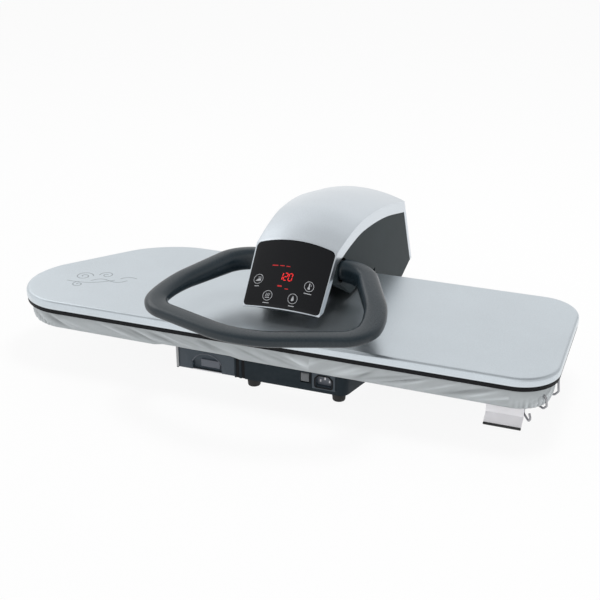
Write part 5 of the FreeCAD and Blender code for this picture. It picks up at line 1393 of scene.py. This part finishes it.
def draw_in(point):
    """Bring a point of a hub closer to the handle's shaft."""
    x, y, z = ruler_place(point)
    return at(x, mix(SHAFT_Y, y, HUB_SHARE), mix(SHAFT_Z, z, HUB_SHARE))


for node in ("handle_hub_left", "handle_hub_right"):
    hub = soft_copy(node, HUB_ROUND)
    remap(hub, draw_in)
    hand_over(hub, "charcoal", "handle", node)

# %% [markdown]
# ## Rim lip of painted shade
#
# A thin black lip fills the gap under the edge of the cover, above the cloth: painted shade, which deepens
# the dark line round the plate where the cover's shade falls. It could be part of the rim, but as a ring of
# its own it follows the plate's outline with smooth corners: the outline is drawn, hollowed and raised.

# %% Rim lip: painted shade
LIP_INSET, LIP_WIDTH, LIP_LOW, LIP_HEIGHT = 0.9, 4, 91.3, 2.2
rim_shade_lip = rounded_outline("rim_shade_lip", plate_outline(LIP_INSET), LIP_LOW, OUTLINE_STEPS)
hollow(LIP_WIDTH, LIP_HEIGHT)
hand_over(rim_shade_lip, "gap_black", "plate", slot="black_plastic")

# %% [markdown]
# ## Small things on the base
#
# The front of the base is full of small marks that make it readable: two black strips in the upright
# grooves, the pale edge of the tank, the tab and the raised arch of its finger recess, a black bar of
# painted shade beside the rocker, and the black collar and grey floor of the inlet. Each is a block or an
# outline, pushed a little in or out of the front. The inlet's pins keep their shape and only get a bright
# plating.

# %% Blocks
BLOCK_STEPS = 2
STRIP_FRONT, STRIP_BACK = 0.4, 1.5
EDGE_LEFT, EDGE_RIGHT, EDGE_FRONT, EDGE_BACK = 0.3, 4.3, 1.5, 0.05
GROOVES, GROOVE_WIDTH, GROOVE_MARGIN, STRIP_MARGIN = (-69, -60), 5, 0.2, 0.5
(_, front, tank_low), (_, _, tank_high) = ruler_box("tank_front")
(base_left, _, base_low), (_, _, base_top) = ruler_box("base_shell")


def block(name, low, high, edge):
    """A bevelled block between two corners in millimetres."""
    piece = cuboid(name, low, high)
    modify(piece, "BEVEL", width=edge * MM, segments=BLOCK_STEPS, limit_method="ANGLE")
    return piece


# Each block has its two corners, the width of its bevel, its finish, its body and its slot.
BLOCKS = {
    "groove_strip_%d" % count: (
        (left + GROOVE_MARGIN, front + STRIP_FRONT, base_low + STRIP_MARGIN),
        (left + GROOVE_WIDTH - GROOVE_MARGIN, front + STRIP_BACK, base_top - STRIP_MARGIN),
        0.2, "gap_black", "base", "black_plastic")
    for count, left in enumerate(GROOVES, 1)
}
BLOCKS["tank_edge"] = ((base_left + EDGE_LEFT, front - EDGE_FRONT, tank_low),
                       (base_left + EDGE_RIGHT, front - EDGE_BACK, tank_high),
                       0.5, "light_key", "tank", "light_key")
# Painted shade: a near-black bar where the rocker's side lies in shade against its frame.
BLOCKS["rocker_bar"] = ((48.6, front - 0.5, 23.5), (50.8, front + 0.8, 41.5),
                        0.3, "gap_black", "base", "black_plastic")
BLOCKS["pull_tab"] = ((-127, front + 0.8, 21), (-96, front + 4.2, 33), 0.8, "tab_grey", "tank", "base_grey")
for name, (low, high, edge, finish, body, slot) in BLOCKS.items():
    hand_over(block(name, low, high, edge), finish, body, slot=slot)

# %% Finger recess
PULL_LEFT, PULL_WIDTH, ARCH_LOW, ARCH_RISE, ARCH_STEPS = -141, 48, 28, 15, 16
SCOOP_RADIUS, SCOOP_BACK = 0.8, 0.2
arch_radius = ((PULL_WIDTH / 2) ** 2 + ARCH_RISE ** 2) / (2 * ARCH_RISE)
arch_reach = math.asin(PULL_WIDTH / 2 / arch_radius)
arch_points = []
for count in range(ARCH_STEPS + 1):
    turn = mix(-arch_reach, arch_reach, count / ARCH_STEPS)
    arch_points.append((PULL_LEFT + PULL_WIDTH / 2 + arch_radius * math.sin(turn),
                        ARCH_LOW + ARCH_RISE - arch_radius * (1 - math.cos(turn)), 0))
scoop_lip = wire_tube("scoop_lip", arch_points, lambda x, z: at(x, front + SCOOP_BACK, z), SCOOP_RADIUS)
hand_over(scoop_lip, "tab_grey", "tank", slot="base_grey")

# %% Inlet collar and floor
INLET_X, INLET_Z, INLET_HALF, INLET_RISE = 71, 31, 12, 8.5
INLET_BEVEL, BEVEL_GROWTH, INLET_STEPS = 5, 0.4, 4
INLET_ROUND, LEAST_ROUND = 1, 0.4
COLLAR_GROW, COLLAR_LOW, COLLAR_WIDTH, COLLAR_HEIGHT = 2.4, -0.4, 2.2, 1.0
FLOOR_GROW, FLOOR_LOW, FLOOR_THICK = -0.2, -9, 1.5
inlet_front = ruler_box("inlet_socket")[0][1]


def inlet_outline(grow):
    """The inlet's opening, seen from the front: two cut upper corners."""
    half, rise = INLET_HALF + grow, INLET_RISE + grow
    cut = INLET_BEVEL + grow * BEVEL_GROWTH
    corner = max(LEAST_ROUND, INLET_ROUND + grow)
    places = [(-half, -rise), (half, -rise), (half, rise - cut), (half - cut, rise), (cut - half, rise),
              (-half, rise - cut)]
    return [(INLET_X + x, INLET_Z + z, corner) for x, z in places]


def stood_up(point):
    """A point of a flat drawing, stood up to face the front at the inlet's depth."""
    x, y, z = ruler_place(point)
    return at(x, inlet_front - z, y)


inlet_collar = rounded_outline("inlet_collar", inlet_outline(COLLAR_GROW), COLLAR_LOW, INLET_STEPS)
hollow(COLLAR_WIDTH, COLLAR_HEIGHT)
inlet_floor = slab("inlet_floor", inlet_outline(FLOOR_GROW), FLOOR_LOW, FLOOR_THICK, INLET_STEPS)
start_fresh()
for piece, finish in ((inlet_collar, "gap_black"), (inlet_floor, "tab_grey")):
    remap(piece, stood_up)
    hand_over(piece, finish, "base", slot="black_plastic")
nodes["inlet_pins"].material_slots[0].material = FINISHES["plated_steel"]

# %% [markdown]
# ## Wire hooks
#
# Three bent wires at the right end hold the hem: each comes down under the board, passes below the hem and
# turns up outside the skirt. They are drawn flat, as distance out of the skirt and height, and then stood
# where they belong.

# %% Wire hooks
HOOK_WIRE, HOOK_ROOT, HOOK_TOP, HOOK_STEPS = 1.6, -16, 78.4, 5
# Each hook has its foot on the skirt's edge, the way it faces in degrees, and its lowest and highest point.
HOOKS = [((396, 78), 0, 55, 84), ((388.5, 33), -32, 56, 76), ((373, 17.5), -58, 42, 54)]


def hook_wire(number, foot, bearing, low, high):
    """One hook, drawn as distance out of the skirt, height and radius of each bend."""
    out = Vector((math.cos(math.radians(bearing)), math.sin(math.radians(bearing))))
    bends = [(HOOK_ROOT, HOOK_TOP, 0), (HOOK_ROOT, low + 2, 3), (2, low, 4), (7, low + 6, 3),
             (5.5, high - 4, 3), (2, high, 0)]

    def stand(away, z):
        return at(foot[0] + out.x * away, foot[1] + out.y * away, z)

    return wire_tube("hook_%d" % number, bends, stand, HOOK_WIRE, HOOK_STEPS)


hooks = join_up("hem_hooks", [hook_wire(number, *hook) for number, hook in enumerate(HOOKS)])
hand_over(hooks, "chrome_wire", "base", "cover_hooks")

# %% [markdown]
# ## Side panels
#
# The dark panels fill the arch below the silver band. Each has a faint crease that runs from the handle's
# root down to the rear, below which the face leans out a little, and its lower edge comes down close to the
# plate behind the handle. The panel is sliced along the crease, and what lies below it is leaned out.

# %% Side panels
CREASE = ((208, 161), (369, 127))
CREASE_LEAN, FACE_DEPTH = 0.035, 1.2
THROAT_Y, PANEL_LOW_Z, PANEL_SKIRT_Z, LOW_EDGE_REACH = 160, 129.5, 116.5, 3
BELLY_Y, BELLY_FORWARD, BELLY_IN, BELLY_REACH = 301, 10.5, 0.55, 2.5
PANEL_ROUND, PANEL_SMOOTH = 0.8, 2
(crease_y, crease_z), (crease_end_y, crease_end_z) = CREASE
crease_along = Vector((0, crease_end_y - crease_y, crease_end_z - crease_z))


def panel_move(point, side):
    """Lean out what lies below the crease, let down the lower edge and bring the belly up to the plate."""
    x, y, z = ruler_place(point)
    under = mix(crease_z, crease_end_z, (y - crease_y) / (crease_end_y - crease_y)) - z
    if under > 0 and x * side > arm_half(y) - FACE_DEPTH:
        x += side * CREASE_LEAN * under
    if y > THROAT_Y and abs(z - PANEL_LOW_Z) < LOW_EDGE_REACH:
        z += PANEL_SKIRT_Z - PANEL_LOW_Z
    if abs(y - BELLY_Y) < BELLY_REACH:
        x -= side * BELLY_IN
        y -= BELLY_FORWARD
    return at(x, y, z)


for node, side in (("side_panel_left", -1), ("side_panel_right", 1)):
    side_panel = soft_copy(node, PANEL_ROUND)
    edit(side_panel)
    bpy.ops.mesh.bisect(plane_co=at(0, crease_y, crease_z), plane_no=crease_along.cross(Vector((1, 0, 0))))
    start_fresh()
    remap(side_panel, lambda point: panel_move(point, side))
    hand_over(side_panel, "dark_panel", "arm", node, angle=PANEL_SMOOTH)

# %% [markdown]
# ## Water hose
#
# A rubber hose climbs from the pump, past the hinge, into the arm, and a second length goes on to the
# plate. They must bend when the arm lifts and the plate tilts; here each is a smooth tube drawn in the
# arm's middle plane and hung on no body.

# %% Water hose
HOSE_RADIUS, HOSE_BEND = 4, 24
HOSE_RISE_Y, HOSE_HIGH_Z, HOSE_TOP_Y, HOSE_TOP_Z = 384, 150, 318, 176
NIPPLE_Y, NIPPLE_TOP = 193, 124
SPLICE_Y, SPLICE_GAP, BEND_FROM_Y, BEND_TO_Z = 285, 0.3, 260, 140
pump_end = ruler_box("pump")[1][1]
hose_low = ruler_box("water_hose")[0][2] + HOSE_RADIUS


def hose_length(name, *bends):
    """A length of hose in the arm's middle plane; bends are (y, z, radius)."""
    return wire_tube(name, bends, lambda y, z: at(0, y, z), HOSE_RADIUS)


hose_tube = hose_length(
    "hose_tube", (pump_end, hose_low, 0), (HOSE_RISE_Y, hose_low, HOSE_BEND),
    (HOSE_RISE_Y, HOSE_HIGH_Z, HOSE_BEND), (HOSE_TOP_Y, HOSE_TOP_Z, HOSE_BEND), (SPLICE_Y, HOSE_TOP_Z, 0))
hand_over(hose_tube, "rubber_black", None, "water_hose")
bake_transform(hose_tube)
plate_hose = hose_length(
    "plate_hose", (SPLICE_Y - SPLICE_GAP, HOSE_TOP_Z, 0), (NIPPLE_Y, HOSE_TOP_Z, HOSE_BEND),
    (NIPPLE_Y, NIPPLE_TOP, 0))
hand_over(plate_hose, "rubber_black", None)
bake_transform(plate_hose)

# %% [markdown]
# ## Studio
#
# The portrait has a white ground and very soft light: a bright room in front, a slightly dimmer sweep
# behind, a dim ceiling, and large soft boxes above and to the left. The silver mirrors the sweep on its
# level faces, the ceiling on the brow of the arm and the room on the faces that look at us. The floor keeps
# a faint shadow.

# %% Floor
FLOOR_SIZE, FLOOR_SHARE = 8, 0.9
FLOOR_TONE = (0.9, 0.9, 0.9, 1)
start_fresh()
bpy.ops.mesh.primitive_plane_add(size=FLOOR_SIZE)
floor = name_piece("studio_floor")
floor_material, tree, shader, _ = new_material("studio_floor")
fill(tree, shader, base_color=FLOOR_TONE, roughness=0.9)
ray = add_node(tree, "LightPath").outputs
seen = calculate(tree, "MAXIMUM", ray["Is Camera Ray"], ray["Is Glossy Ray"])
seen = calculate(tree, "MAXIMUM", seen, ray["Is Transmission Ray"])
share = calculate(tree, "MULTIPLY", seen, FLOOR_SHARE)
glowing = add_node(tree, "MixShader", share, shader, add_node(tree, "Emission", strength=1.0))
fill(tree, tree.nodes["Material Output"], surface=glowing)
floor.data.materials.append(floor_material)
print("floor:", tuple(round(side, 1) for side in floor.dimensions))

# %% Room
ROOM_FRONT, ROOM_BACK, ROOM_OVERHEAD, ROOM_RIGHT = 1.0, 0.88, 0.42, 0.7
DEPTH_RUN, HEIGHT_RUN, SIDE_RUN = (-0.45, 0.55), (0.55, 0.95), (0.05, 0.55)
WHITE = (1, 1, 1, 1)
world = bpy.data.worlds.new("studio_room")
bpy.context.scene.world = world
world.use_nodes = True
room = world.node_tree
room.nodes.clear()


def ramp(way, run, first, last):
    """A level that goes smoothly from one value to another over a run along a way through the room."""
    return add_node(room, "MapRange", interpolation_type="SMOOTHSTEP", value=way, from_min=run[0],
                    from_max=run[1], to_min=first, to_max=last)


ways = add_node(room, "SeparateXYZ", add_node(room, "TexCoord").outputs["Generated"]).outputs
depth = ramp(ways["Y"], DEPTH_RUN, ROOM_FRONT, ROOM_BACK)
above = blend_node(room, "FLOAT", ramp(ways["Z"], HEIGHT_RUN, 0, 1), depth, ROOM_OVERHEAD)
dimmed = calculate(room, "MULTIPLY", above, ramp(ways["X"], SIDE_RUN, 1, ROOM_RIGHT))
brightness = blend_node(room, "FLOAT", add_node(room, "LightPath").outputs["Is Camera Ray"], dimmed, 1)
add_node(room, "OutputWorld", surface=add_node(room, "Background", color=WHITE, strength=brightness))
print("room from", ROOM_FRONT, "to", ROOM_BACK)

# %% Soft boxes
LAMP_TARGET = Vector((0, 0, 0.1))


def soft_box(name, place, size, power, mirrored):
    """A square area lamp aimed at the press; gloss may mirror it or not."""
    lamp_data = bpy.data.lights.new(name, "AREA")
    lamp_data.size = size
    lamp_data.energy = power
    lamp = bpy.data.objects.new(name, lamp_data)
    lamp.location = Vector(place)
    lamp.rotation_euler = (LAMP_TARGET - Vector(place)).to_track_quat("-Z", "Y").to_euler()
    lamp.visible_glossy = mirrored
    bpy.context.scene.collection.objects.link(lamp)
    print(name, power, "W")


soft_box("box_over_left", (-1.7, 1.1, 1.7), 0.9, 2.5, True)
soft_box("box_overhead", (0.35, 0.2, 2.2), 0.7, 22, False)
bpy.context.scene.view_settings.view_transform = "Standard"
